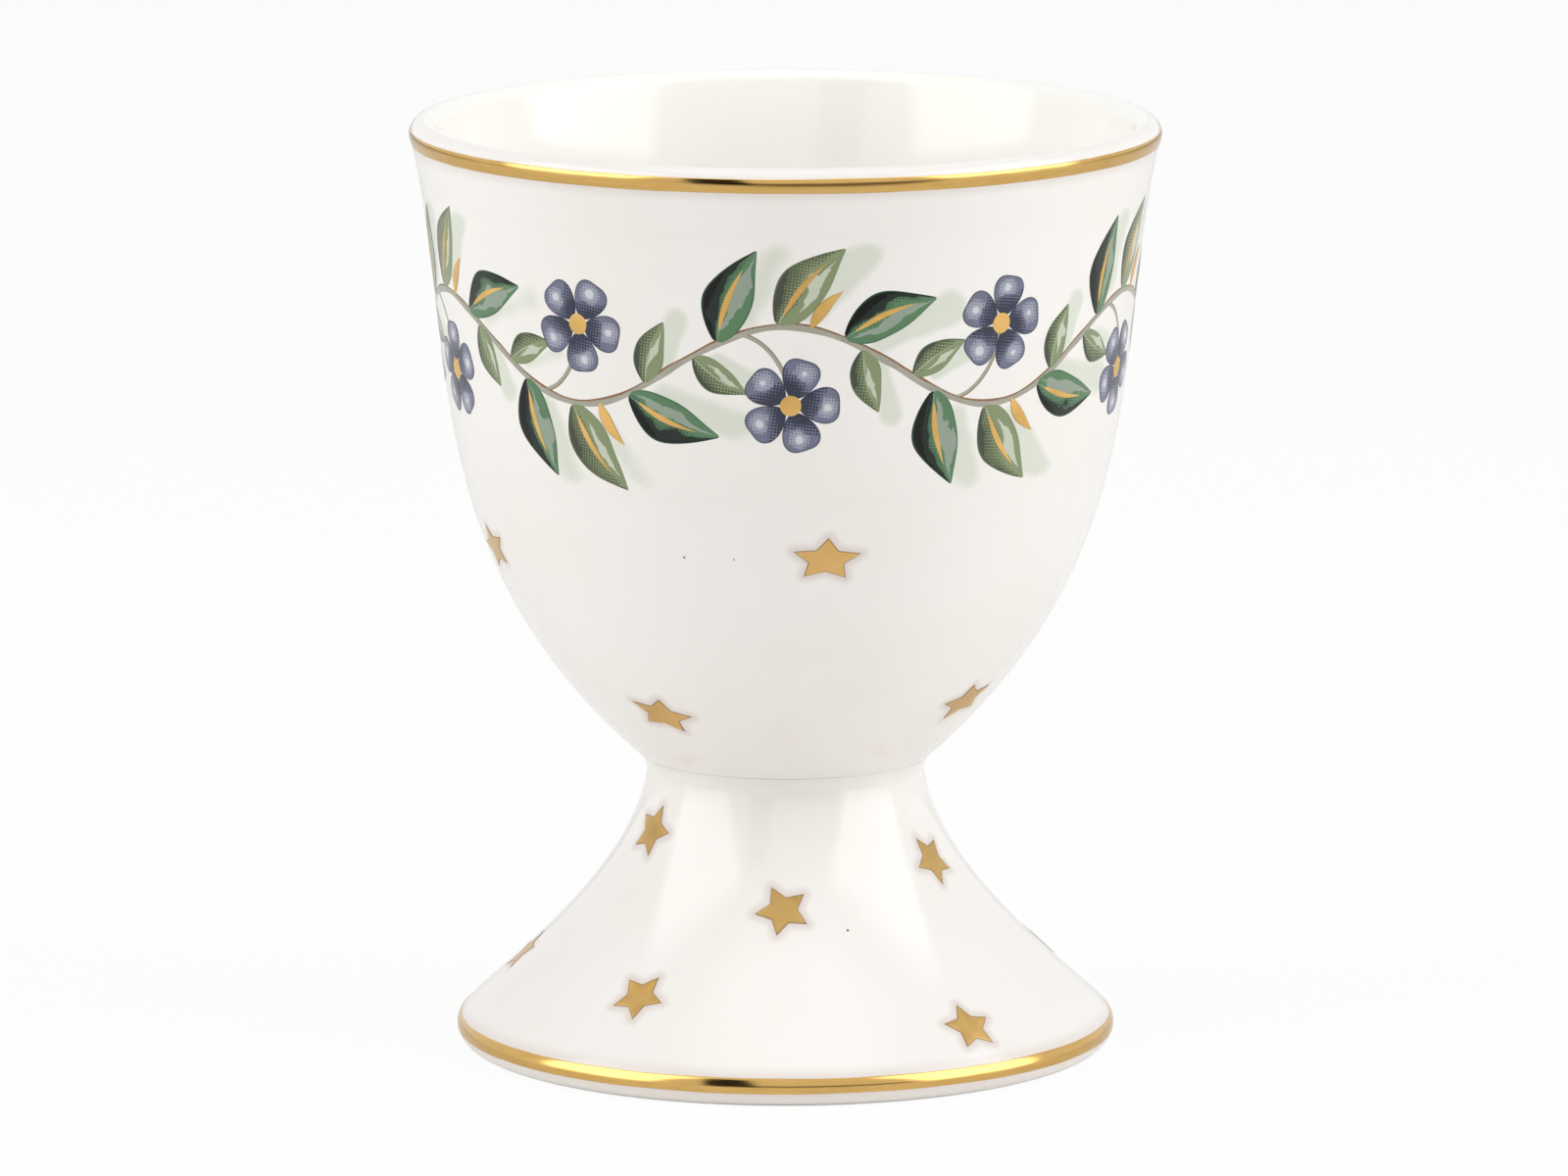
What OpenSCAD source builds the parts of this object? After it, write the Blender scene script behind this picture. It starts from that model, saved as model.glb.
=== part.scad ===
// Egg cup: a bowl on a flared hollow foot, joined by a ring of slip,
// with gold lines, gold stars and a printed running vine.
// Millimetres, +Z up, the table at zero, the front towards -Y.

/* [Cup] */
// Height from the table to the top of the lip
cup_height = 65; // [58:0.5:74]
// Height of the flat seat under the bowl
seat_height = 20; // [17:0.5:23]
// Radius of the neck, where the bowl meets the foot
neck_radius = 9.6; // [8.4:0.1:11]

/* [Bowl] */
// Radius of the mouth, to the middle of the rounded lip
lip_radius = 25; // [23:0.1:27.5]
// Thickness of the bowl's wall, which the lip rounds over
bowl_wall = 1.9; // [1.5:0.1:2.4]
// Thickness of the bowl's floor at its middle
floor_thickness = 2.8; // [2:0.1:3.6]
// Angle at which the bowl leaves its seat, above level
seat_flare = 41; // [36:1:46]
// Angle at which the lip leans out, from upright
lip_flare = 13.4; // [9:0.2:17]
// Pull of the lower curve, as a share of the bowl's height
lower_pull_share = 0.49; // [0.45:0.01:0.53]
// Pull of the upper curve, as a share of the bowl's height
upper_pull_share = 0.33; // [0.28:0.01:0.38]

/* [Foot] */
// Radius of the foot, to the middle of its rounded edge
foot_radius = 21.6; // [20:0.1:23.5]
// Radius of the rounded edge
foot_edge_radius = 1.3; // [1.1:0.05:1.6]
// Thickness of the foot's wall
foot_wall = 2.3; // [1.8:0.1:2.8]
// Width of the flat ring that the cup stands on
standing_width = 0.9; // [0.7:0.05:1.2]
// Angle of the foot's wall below the neck, from upright
neck_flare = 5.2; // [3:0.2:9]
// Angle at which the foot runs into its edge, below level
edge_slope = 56.7; // [50:0.5:64]
// Pull of the neck's curve, as a share of the foot's height
neck_pull_share = 0.41; // [0.36:0.01:0.46]
// Pull of the edge's curve, as a share of the foot's height
edge_pull_share = 0.1; // [0.08:0.01:0.13]

/* [Slip joint] */
// Thickness of the slip between the bowl and the foot
slip_thickness = 0.3; // [0.2:0.05:0.6]
// Reach of the slip's fillet along each wall
slip_fillet = 0.6; // [0.3:0.05:1]

/* [Gold lines] */
// Thickness of the gold
gold_thickness = 0.05; // [0.03:0.01:0.08]
// Distance from the top of the lip down to the rim line
rim_line_drop = 0.6; // [0.5:0.05:1]
// Height of the rim line
rim_line_height = 1.05; // [0.7:0.05:1.6]
// Height of the foot line's lower edge above the table
foot_line_lift = 1; // [0.7:0.05:1.2]
// Height of the foot line
foot_line_height = 1.1; // [0.7:0.05:1.4]

/* [Gold stars] */
// Radius of a star on the bowl, to its side points
bowl_star_radius = 2.45; // [1.6:0.05:2.6]
// Height of a star on the bowl, as a share of a regular star's
bowl_star_height_share = 0.68; // [0.6:0.01:1]
// Radius of a star on the foot, to its points
foot_star_radius = 1.95; // [1.4:0.05:2.3]
// Radius of a star's inner corners, as a share of its radius
star_waist_share = 0.53; // [0.38:0.01:0.6]

/* [Printed vine] */
// Thickness of the printed colours
print_thickness = 0.04; // [0.03:0.01:0.06]
// Number of arches in the stem round the bowl
arch_count = 10; // [10:2:14]
// Place of the vine, as a share of the way up the bowl's curve
vine_place_share = 0.71; // [0.68:0.01:0.76]
// Height of an arch, as a share of its width
arch_height_share = 0.2; // [0.16:0.01:0.24]
// Width of the stem, as a share of an arch's width
stem_share = 0.034; // [0.026:0.002:0.044]
// Width of the flower stalks, as a share of an arch's width
stalk_share = 0.022; // [0.018:0.002:0.03]
// Length of a large leaf, as a share of an arch's width
large_leaf_share = 0.475; // [0.42:0.005:0.5]
// Length of a small leaf, as a share of an arch's width
small_leaf_share = 0.315; // [0.27:0.005:0.335]
// Width of a leaf, as a share of its length
leaf_width_share = 0.5; // [0.36:0.01:0.5]
// Radius of a flower, as a share of an arch's width
flower_share = 0.23; // [0.19:0.005:0.24]
// Radius of a flower's gold eye, as a share of the flower's radius
flower_eye_share = 0.21; // [0.17:0.01:0.26]
// Width of the gold stroke on a leaf, as a share of the leaf's length
gold_stroke_share = 0.066; // [0.04:0.002:0.08]
// Number of petals on a flower
petal_count = 5; // [4:1:6]
// Largest turn of a leaf from its place, in degrees
leaf_sway = 6; // [0:1:8]

/* [Hidden] */

$fn = 96;
// Steps along a wall's curve, round a quarter of an edge, along the floor
// and along the fillet
curve_steps = 30;
edge_steps = 5;
floor_steps = 12;
fillet_steps = 4;
// Steps along a leaf, along half an arch of the stem and round a petal
leaf_steps = 9;
stem_steps = 10;
petal_steps = 18;
// The front of the cup faces this angle
front_angle = -90;
star_points = 5;
// Turn from one leaf's sway to the next, so that no two are alike
sway_turn = 137.5;

// Bowl: the outer curve starts at the seat and ends in the rounded lip
bowl_height = cup_height - seat_height;
lip_round = bowl_wall / 2;
lip_centre = [lip_radius, cup_height - lip_round];
seat_direction = [cos(seat_flare), sin(seat_flare)];
lip_direction = [sin(lip_flare), cos(lip_flare)];
bowl_start = [neck_radius, seat_height];
bowl_end = lip_centre + lip_round * [cos(lip_flare), -sin(lip_flare)];
bowl_curve = [
    bowl_start,
    bowl_start + bowl_height * lower_pull_share * seat_direction,
    bowl_end - bowl_height * upper_pull_share * lip_direction,
    bowl_end
];
// Share of the bowl's curve below which the inner wall turns into the floor
floor_join_share = 0.17;
// Pulls of the floor's curve, as shares of its reach
floor_pull_share = 0.55;
floor_join_pull_share = 0.35;

// Foot: the outer curve starts under the slip and ends in the rounded edge
foot_top = seat_height - slip_thickness;
foot_edge_centre = [foot_radius, foot_edge_radius];
neck_direction = [sin(neck_flare), -cos(neck_flare)];
edge_direction = [cos(edge_slope), -sin(edge_slope)];
foot_start = [neck_radius, foot_top];
foot_end = foot_edge_centre + foot_edge_radius * [sin(edge_slope), cos(edge_slope)];
foot_curve = [
    foot_start,
    foot_start + seat_height * neck_pull_share * neck_direction,
    foot_end - seat_height * edge_pull_share * edge_direction,
    foot_end
];
// Share of the foot's curve at which the inner wall turns to the standing ring
foot_inner_end_share = 0.85;

// Vine: one arch of the stem fills one cell, and every second cell is upside down
vine_at = bezier(bowl_curve, vine_place_share);
arch_angle = 360 / arch_count;
arch_width = 2 * PI * vine_at[0] / arch_count;
arch_height = arch_width * arch_height_share;
stem_width = arch_width * stem_share;
stalk_width = arch_width * stalk_share;
large_leaf_length = arch_width * large_leaf_share;
small_leaf_length = arch_width * small_leaf_share;
flower_radius = arch_width * flower_share;
flower_eye_radius = flower_radius * flower_eye_share;
// A cell's prism reaches this far to either side of the bowl's skin
vine_reach = vine_at[0] * (1 - cos(arch_angle / 2)) + bowl_wall;

// Leaves of one arch: share of the way from the arch's middle to its end,
// side of the stem, angle from the stem, share of the leaf's length
dark_leaf_shares = [[-0.62, 1, 44, 1], [0.52, 1, 46, 0.95]];
sage_leaf_shares = [[-0.08, 1, 50, 1]];
small_leaf_shares = [[-0.84, -1, 60, 0.95], [0.7, -1, 42, 1]];
gold_leaf_shares = [[0.22, 1, 66, 0.72]];
// A leaf bulges towards its foot by this power, and bends by this share
leaf_bulge_power = 0.78;
leaf_bend_share = 0.07;
// A gold stroke starts and ends at these shares of its leaf
stroke_start_share = 0.12;
stroke_end_share = 0.78;
// Width of a gold leaf, as a share of its length
gold_leaf_width_share = 0.27;
// Place of a flower's middle beside and below the middle of its arch, as
// shares of its radius
flower_shift_share = 0.1;
flower_drop_share = 0.72;
flower_at = [flower_radius * flower_shift_share, -flower_radius * flower_drop_share];
// Petal: where it starts, its half width, how much it swells outwards and how
// deep its tip is notched, as shares of the flower's radius
petal_start_share = 0.15;
petal_half_share = 0.36;
petal_swell_share = 0.3;
petal_notch_share = 0.1;
// The notch is as narrow as this power makes it
petal_notch_power = 9;
// A stalk leaves the stem at this share of the arch, and goes under the flower
// at this share of the flower's radius
stalk_root_share = -0.42;
stalk_end_share = 0.64;

// Stars on the bowl: angle from the front, share of the way up the bowl's
// curve, turn of the star
bowl_star_shares = [
    [7.4, 0.405, -3], [98, 0.39, 8], [-170, 0.4, -10], [-72.3, 0.366, 14],
    [-34.6, 0.122, -12], [55, 0.13, 12], [146, 0.125, -5], [-124, 0.13, 12]
];
// Stars on the foot: angle from the front, share of the way down the foot's
// curve, turn of the star
foot_star_shares = [
    [-59.9, 0.159, -12], [60.5, 0.243, 24], [-0.8, 0.337, 24], [-90.6, 0.624, 10],
    [-33.4, 0.625, -24], [38.3, 0.757, 0], [104, 0.62, -16], [158, 0.7, 20],
    [-145, 0.66, 6], [120, 0.25, -8], [-118, 0.3, 30], [177, 0.32, 12]
];

// Point of a cubic curve with four control points
function bezier(p, t) =
    pow(1 - t, 3) * p[0] + 3 * pow(1 - t, 2) * t * p[1]
    + 3 * (1 - t) * pow(t, 2) * p[2] + pow(t, 3) * p[3];

// Direction of that curve
function bezier_direction(p, t) =
    pow(1 - t, 2) * (p[1] - p[0]) + 2 * (1 - t) * t * (p[2] - p[1])
    + pow(t, 2) * (p[3] - p[2]);

function unit(v) = v / norm(v);
function left_of(v) = [-v[1], v[0]];

// Outward directions: the bowl's curve climbs, and the foot's runs down
function bowl_out(t) = -left_of(unit(bezier_direction(bowl_curve, t)));
function foot_out(t) = left_of(unit(bezier_direction(foot_curve, t)));

// Points of an arc from one angle to another, without the first few if asked
function arc(centre, radius, from, to, steps, skipped = 0) = [
    for (i = [skipped:steps])
        let (a = from + (to - from) * i / steps)
            centre + radius * [cos(a), sin(a)]
];

// The same list in the other order
function turned(list) = [for (i = [len(list) - 1:-1:0]) list[i]];

// Bowl's side up to the top of its lip, at a distance outside the wall
function bowl_side(lift) = concat(
    [for (i = [0:curve_steps - 1])
        let (t = i / curve_steps)
            bezier(bowl_curve, t) + lift * bowl_out(t)],
    arc(lip_centre, lip_round + lift, -lip_flare, 0, edge_steps),
    arc(lip_centre, lip_round + lift, 0, 90, edge_steps, 1)
);

// Foot's side down to its lowest point, at a distance outside the wall
function foot_side(lift) = concat(
    [for (i = [0:curve_steps - 1])
        let (t = i / curve_steps)
            bezier(foot_curve, t) + lift * foot_out(t)],
    arc(foot_edge_centre, foot_edge_radius + lift, 90 - edge_slope, 0, edge_steps),
    arc(foot_edge_centre, foot_edge_radius + lift, 0, -90, edge_steps, 1)
);

// Inside of the bowl, from the top of its lip down, then the floor to the axis
function bowl_inside() =
    let (
        wall_steps = round(curve_steps * (1 - floor_join_share)),
        join = bezier(bowl_curve, floor_join_share)
            - bowl_wall * bowl_out(floor_join_share),
        down = -unit(bezier_direction(bowl_curve, floor_join_share)),
        floor_at = [0, seat_height + floor_thickness],
        floor_curve = [
            join,
            join + join[0] * floor_join_pull_share * down,
            floor_at + [join[0] * floor_pull_share, 0],
            floor_at
        ]
    )
    concat(
        arc(lip_centre, lip_round, 90, 180 - lip_flare, edge_steps, 1),
        [for (i = [1:wall_steps - 1])
            let (t = 1 - (1 - floor_join_share) * i / wall_steps)
                bezier(bowl_curve, t) - bowl_wall * bowl_out(t)],
        [for (i = [0:floor_steps]) bezier(floor_curve, i / floor_steps)]
    );

// Inner wall of the foot, from the standing ring up
function foot_inside() =
    let (wall_steps = round(curve_steps * foot_inner_end_share))
    [for (i = [wall_steps:-1:0])
        let (t = foot_inner_end_share * i / wall_steps)
            bezier(foot_curve, t) - foot_wall * foot_out(t)];

// Top edge of the foot's bore, where the slip ends too
bore_top = foot_inside()[len(foot_inside()) - 1];

// Middle line of the stem in one cell, from -1 at one end to 1 at the other,
// and its slope
function stem_at(s) = [vine_at[0] * sin(s * arch_angle / 2), arch_height * cos(90 * s)];
function stem_slope(s) = atan2(
    -90 * arch_height * sin(90 * s),
    arch_angle / 2 * vine_at[0] * cos(s * arch_angle / 2)
);

// Middle line of a leaf that lies along +X, at a share of its length
function leaf_rib(length, s) = [length * s, length * leaf_bend_share * sin(180 * s)];
// Half width of a leaf at a share of its length
function leaf_half(width, s) = width / 2 * sin(180 * pow(s, leaf_bulge_power));

// Outline of a leaf's blade, or of a narrower one between two shares of the leaf
function blade_outline(length, width, start = 0, end = 1) = concat(
    [for (i = [0:leaf_steps])
        let (s = i / leaf_steps)
            leaf_rib(length, start + (end - start) * s) + [0, leaf_half(width, s)]],
    [for (i = [leaf_steps - 1:-1:1])
        let (s = i / leaf_steps)
            leaf_rib(length, start + (end - start) * s) - [0, leaf_half(width, s)]]
);

// Outline of a petal along +X: an oval that swells towards a notched tip
function petal_outline(radius) =
    let (
        middle = radius * (1 + petal_start_share) / 2,
        half_length = radius * (1 - petal_start_share) / 2
    )
    [for (i = [0:petal_steps - 1])
        let (a = 360 * i / petal_steps)
        let (notch = petal_notch_share * pow(max(cos(a), 0), petal_notch_power))
            [middle + half_length * cos(a) * (1 - notch),
             radius * petal_half_share * sin(a) * (1 + petal_swell_share * cos(a))]];

// Outline of a band of one width along a line of points
function band_outline(line, width) = concat(
    [for (i = [0:len(line) - 1]) line[i] + width / 2 * left_of(line_direction(line, i))],
    [for (i = [len(line) - 1:-1:0]) line[i] - width / 2 * left_of(line_direction(line, i))]
);
function line_direction(line, i) =
    unit(line[min(i + 1, len(line) - 1)] - line[max(i - 1, 0)]);

// Outline of a star with one point up, flattened to a share of its height
function star_outline(radius, height_share = 1) = [
    for (i = [0:2 * star_points - 1])
        let (r = i % 2 == 0 ? radius : radius * star_waist_share)
        let (a = 90 + 180 * i / star_points)
            [r * cos(a), r * height_share * sin(a)]
];

// Puts a flat drawing on a side, facing out, with its +Y up the side
module on_side(at, out, angle) {
    rotate([0, 0, front_angle + angle])
        translate([at[0], 0, at[1]])
            rotate([0, -atan2(out[1], out[0]), 0])
                rotate([90, 0, 90])
                    children();
}
module on_bowl(angle, share) {
    on_side(bezier(bowl_curve, share), bowl_out(share), angle) children();
}
module on_foot(angle, share) {
    on_side(bezier(foot_curve, share), foot_out(share), angle) children();
}

// Thin skins over the bowl's side and the foot's side
module bowl_skin(thickness) {
    rotate_extrude() polygon(concat(bowl_side(0), turned(bowl_side(thickness))));
}
module foot_skin(thickness) {
    rotate_extrude() polygon(concat(foot_side(0), turned(foot_side(thickness))));
}

// The space between two heights, wide enough for the whole cup
module level_slab(low, height) {
    translate([0, 0, low]) cylinder(h = height, r = 2 * lip_radius);
}

// Places leaves on the stem of one cell, each with its own sway
module leaves_on_stem(shares, cell) {
    for (leaf = shares) {
        sway = leaf_sway * sin(sway_turn * (cell + leaf[0]) * arch_count);
        translate(stem_at(leaf[0]))
            rotate(stem_slope(leaf[0]) + leaf[1] * leaf[2] + sway)
                scale(leaf[3])
                    mirror([0, leaf[1] > 0 ? 0 : 1, 0])
                        children();
    }
}

module dark_leaves_drawing(cell) {
    leaves_on_stem(dark_leaf_shares, cell)
        polygon(blade_outline(large_leaf_length, large_leaf_length * leaf_width_share));
}

module sage_leaves_drawing(cell) {
    leaves_on_stem(sage_leaf_shares, cell)
        polygon(blade_outline(large_leaf_length, large_leaf_length * leaf_width_share));
    leaves_on_stem(small_leaf_shares, cell)
        polygon(blade_outline(small_leaf_length, small_leaf_length * leaf_width_share));
}

module petals_drawing(cell) {
    translate(flower_at)
        for (i = [0:petal_count - 1])
            rotate(sway_turn * cell + 360 * i / petal_count)
                polygon(petal_outline(flower_radius));
}

// Strokes along the large leaves, gold leaves and the flower's eye
module gold_drawing(cell) {
    leaves_on_stem(concat(dark_leaf_shares, sage_leaf_shares), cell)
        polygon(blade_outline(
            large_leaf_length, large_leaf_length * gold_stroke_share,
            stroke_start_share, stroke_end_share
        ));
    leaves_on_stem(gold_leaf_shares, cell)
        polygon(blade_outline(small_leaf_length, small_leaf_length * gold_leaf_width_share));
    translate(flower_at) circle(r = flower_eye_radius);
}

// Stem of one arch, a step too long at each end so that it runs into the next,
// and the stalk that bends down from it to the flower
module stems_drawing() {
    polygon(band_outline(
        [for (i = [-stem_steps - 1:stem_steps + 1]) stem_at(i / stem_steps)],
        stem_width
    ));
    root = stem_at(stalk_root_share);
    bend = [flower_at[0], root[1]];
    stalk_curve = [root, (root + bend) / 2, (bend + flower_at) / 2, flower_at];
    polygon(band_outline(
        [for (i = [0:stem_steps]) bezier(stalk_curve, i / stem_steps)],
        stalk_width
    ));
}

// Prints a cell's drawing on the bowl, cell after cell; $cell is the cell's number
module printed(thickness) {
    intersection() {
        bowl_skin(thickness);
        for ($cell = [0:arch_count - 1])
            on_bowl(arch_angle * $cell, vine_place_share)
                linear_extrude(height = 2 * vine_reach, center = true)
                    mirror([0, $cell % 2, 0])
                        children();
    }
}

module bowl() {
    color("ivory")
        rotate_extrude()
            polygon(concat([[0, seat_height]], bowl_side(0), bowl_inside()));
}

module foot() {
    color("ivory")
        rotate_extrude()
            polygon(concat(
                foot_side(0),
                [[foot_radius - standing_width, 0]],
                foot_inside(),
                [[bore_top[0], foot_top]]
            ));
}

// The ring of slip, with a fillet that fills the crease at the neck
module slip_joint() {
    low = foot_start + slip_fillet * unit(foot_side(0)[1] - foot_side(0)[0]);
    high = bowl_start + slip_fillet * unit(bowl_side(0)[1] - bowl_side(0)[0]);
    middle = (foot_start + bowl_start) / 2;
    fillet_curve = [low, (low + 2 * middle) / 3, (high + 2 * middle) / 3, high];
    color("linen")
        rotate_extrude()
            polygon(concat(
                [[bore_top[0], foot_top], foot_start],
                [for (i = [0:fillet_steps]) bezier(fillet_curve, i / fillet_steps)],
                [bowl_start, [bore_top[0], seat_height]]
            ));
}

module rim_gold_line() {
    color("goldenrod")
        intersection() {
            bowl_skin(gold_thickness);
            level_slab(cup_height - rim_line_drop - rim_line_height, rim_line_height);
        }
}

module foot_gold_line() {
    color("goldenrod")
        intersection() {
            foot_skin(gold_thickness);
            level_slab(foot_line_lift, foot_line_height);
        }
}

module bowl_stars() {
    color("goldenrod")
        intersection() {
            bowl_skin(gold_thickness);
            for (star = bowl_star_shares)
                on_bowl(star[0], star[1])
                    linear_extrude(height = bowl_star_radius, center = true)
                        rotate(star[2])
                            polygon(star_outline(bowl_star_radius, bowl_star_height_share));
        }
}

module foot_stars() {
    color("goldenrod")
        intersection() {
            foot_skin(gold_thickness);
            for (star = foot_star_shares)
                on_foot(star[0], star[1])
                    linear_extrude(height = foot_star_radius, center = true)
                        rotate(star[2])
                            polygon(star_outline(foot_star_radius));
        }
}

module vine_stems() {
    color("tan")
        printed(print_thickness)
            difference() {
                stems_drawing();
                dark_leaves_drawing($cell);
                sage_leaves_drawing($cell);
                petals_drawing($cell);
                gold_drawing($cell);
                translate(flower_at) circle(r = flower_radius * stalk_end_share);
            }
}

module vine_dark_leaves() {
    color("darkgreen")
        printed(print_thickness)
            difference() {
                dark_leaves_drawing($cell);
                petals_drawing($cell);
                gold_drawing($cell);
            }
}

module vine_sage_leaves() {
    color("darkseagreen")
        printed(print_thickness)
            difference() {
                sage_leaves_drawing($cell);
                dark_leaves_drawing($cell);
                petals_drawing($cell);
                gold_drawing($cell);
            }
}

module vine_petals() {
    color("slateblue")
        printed(print_thickness)
            difference() {
                petals_drawing($cell);
                gold_drawing($cell);
            }
}

module vine_gold() {
    color("goldenrod")
        printed(gold_thickness)
            gold_drawing($cell);
}

bowl();
slip_joint();
foot();
rim_gold_line();
foot_gold_line();
bowl_stars();
foot_stars();
vine_stems();
vine_dark_leaves();
vine_sage_leaves();
vine_petals();
vine_gold();
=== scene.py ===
"""Egg cup: glazed china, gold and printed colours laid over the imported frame.

Metres, +Z up, the cup's axis at the origin, the front towards -Y.
"""
import math

import bpy
import numpy as np
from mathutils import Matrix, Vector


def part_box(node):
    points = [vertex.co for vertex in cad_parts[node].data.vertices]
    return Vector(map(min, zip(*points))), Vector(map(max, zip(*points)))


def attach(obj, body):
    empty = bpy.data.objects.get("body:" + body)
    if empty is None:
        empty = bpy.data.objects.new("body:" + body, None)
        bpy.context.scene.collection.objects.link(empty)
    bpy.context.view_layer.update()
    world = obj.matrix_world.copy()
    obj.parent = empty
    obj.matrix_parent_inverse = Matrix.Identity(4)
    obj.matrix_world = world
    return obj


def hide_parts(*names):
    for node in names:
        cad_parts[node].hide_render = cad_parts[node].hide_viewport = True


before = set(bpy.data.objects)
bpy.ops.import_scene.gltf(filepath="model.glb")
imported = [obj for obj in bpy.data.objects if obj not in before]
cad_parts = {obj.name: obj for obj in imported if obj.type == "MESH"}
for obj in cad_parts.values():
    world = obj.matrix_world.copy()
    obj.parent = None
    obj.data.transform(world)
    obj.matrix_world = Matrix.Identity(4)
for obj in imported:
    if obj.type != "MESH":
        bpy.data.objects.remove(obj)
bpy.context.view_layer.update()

# Sizes in metres; a drawing's own angles are in degrees
mm = 0.001
around = 2 * math.pi

# China, from the frame's boxes
bowl_low, bowl_high = (np.array(corner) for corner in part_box("bowl"))
foot_high = np.array(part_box("foot")[1])
seat_height = bowl_low[2]
cup_height = bowl_high[2]
foot_top = foot_high[2]
neck_radius = 9.6 * mm

# Bowl
bowl_wall = 1.9 * mm
lip_round = bowl_wall / 2
lip_radius = max(bowl_high[:2]) - lip_round
floor_thickness = 2.8 * mm
# Inside the bowl the glaze turns creamier and lighter: partly the cream of pooled glaze, partly painted
# light for the brightly lit inside. Its share rises from the least to 1 over this depth below the lip
cream_and_light_depth = 12 * mm
cream_and_light_least_share = 0.85
seat_flare = math.radians(41)
lip_flare = math.radians(13.4)
lower_pull_share = 0.49
upper_pull_share = 0.33
floor_join_share = 0.17
floor_pull_share = 0.55
floor_join_pull_share = 0.35

# Foot
foot_edge_radius = 1.3 * mm
foot_radius = max(foot_high[:2]) - foot_edge_radius
foot_wall = 2.3 * mm
standing_width = 0.9 * mm
neck_flare = math.radians(5.2)
edge_slope = math.radians(56.7)
neck_pull_share = 0.41
edge_pull_share = 0.1
foot_inner_end_share = 0.85

# Slip in the crease between the two
slip_fillet = 0.6 * mm

# Gold and printed colours: how far each layer stands off the wall, and how far
# its underside sinks into the glaze
gold_rise = 0.05 * mm
glow_rise = 0.012 * mm
stem_rise = 0.020 * mm
stalk_rise = 0.018 * mm
sage_rise = 0.027 * mm
dark_rise = 0.034 * mm
petal_rise = 0.040 * mm
sunk = 0.01 * mm
# A layer's edge: the lower the power, the steeper it stands off the wall
steep_edge = 0.2
gentle_edge = 1.0
# Halo round the gold: a rosy tint of the glaze, and painted shade darkening the glaze beside the gold's
# edges
halo_width = 0.8 * mm
# The gold lines' edges wander by this much, as a brush leaves them
line_wander = 0.035 * mm
line_waves = [3, 5, 8, 13, 21]

# Stars: radius to the points, and of the waist as a share of it; the bowl's are flattened
bowl_star_radius = 2.45 * mm
bowl_star_height_share = 0.68
foot_star_radius = 1.95 * mm
star_waist_share = 0.53
star_points = 5
# The thin layer round a star that holds its halo of rosy tint and painted shade: shares of the star's radius
halo_share = 1.52
halo_swell = 0.1
# Angle from the front, share of the wall's curve, turn of the star
bowl_star_shares = [
    [7.4, 0.405, -3], [98, 0.39, 8], [-170, 0.4, -10], [-72.3, 0.366, 14],
    [-34.6, 0.122, -12], [55, 0.13, 12], [146, 0.125, -5], [-124, 0.13, 12],
]
foot_star_shares = [
    [-59.9, 0.159, -12], [60.5, 0.243, 24], [-0.8, 0.337, 24], [-90.6, 0.624, 10],
    [-33.4, 0.625, -24], [38.3, 0.757, 0], [104, 0.62, -16], [158, 0.7, 20],
    [-145, 0.66, 6], [120, 0.25, -8], [-118, 0.3, 30], [177, 0.32, 12],
]

# Printed vine: shares of an arch's width, unless another size is named
arch_count = 10
vine_place_share = 0.71
arch_height_share = 0.2
stem_share = 0.034
stem_uneven_share = 0.15
stem_waves = 9
stalk_share = 0.022
large_leaf_share = 0.475
small_leaf_share = 0.315
leaf_width_share = 0.5
gold_leaf_width_share = 0.27
gold_stroke_share = 0.066
flower_share = 0.23
petal_count = 5
seed_count = 7
leaf_sway = 6
sway_turn = 137.5
leaf_bulge_power = 0.78
leaf_bend_share = 0.07
brush_share = 0.055
brush_waves = [1.25, 0.55]
brush_slant = 0.17
stroke_start_share = 0.12
stroke_end_share = 0.78
# Place on the arch, side of the stem, angle from the stem, share of the length
dark_leaf_shares = [[-0.62, 1, 44, 1], [0.52, 1, 46, 0.95]]
sage_leaf_shares = [[-0.08, 1, 50, 1]]
small_leaf_shares = [[-0.84, -1, 60, 0.95], [0.7, -1, 42, 1]]
gold_leaf_shares = [[0.22, 1, 66, 0.72]]
# Shares of the flower's radius
flower_eye_share = 0.21
flower_shift_share = 0.1
flower_drop_share = 0.72
petal_start_share = 0.15
petal_half_share = 0.36
petal_swell_share = 0.3
petal_notch_share = 0.1
petal_notch_power = 9
stalk_root_share = -0.42
# Pale wash behind the vine: shares of a leaf's length, and half the band's height up the wall
wash_start_share = 0.35
wash_end_share = 1.06
wash_side_share = -0.16
wash_reach_share = 0.25
wash_least_share = 0.4
wash_half_height = 10.6 * mm
wash_margin_share = 0.12

# Steps of the surfaces, and of the search for the wall under a flat point
lay_steps = 8
turns = 288
wall_steps = 110
edge_steps = 16
floor_steps = 30
blade_rows = 30
blade_columns = 26
disc_rows = 25
halo_steps = 60
petal_steps = 44
eye_steps = 36
stem_steps = 36
wash_rows = 80
wash_columns = 900


def bezier(points, t):
    """Cubic curve: the four points weighted by (1-t)^3, 3(1-t)^2 t, 3(1-t)t^2, t^3."""
    t = np.asarray(t, float)[..., None]
    p = np.asarray(points, float)
    return (1 - t) ** 3 * p[0] + 3 * (1 - t) ** 2 * t * p[1] + 3 * (1 - t) * t**2 * p[2] + t**3 * p[3]


def bezier_way(points, t):
    """Unit direction of that curve: its derivative over the derivative's length."""
    t = np.asarray(t, float)[..., None]
    p = np.asarray(points, float)
    way = (1 - t) ** 2 * (p[1] - p[0]) + 2 * (1 - t) * t * (p[2] - p[1]) + t**2 * (p[3] - p[2])
    return way / np.linalg.norm(way, axis=-1, keepdims=True)


def polar(r, a, *height):
    """Points (r cos a, r sin a), and their height if one is given."""
    return np.stack(np.broadcast_arrays(r * np.cos(a), r * np.sin(a), *height), -1)


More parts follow.
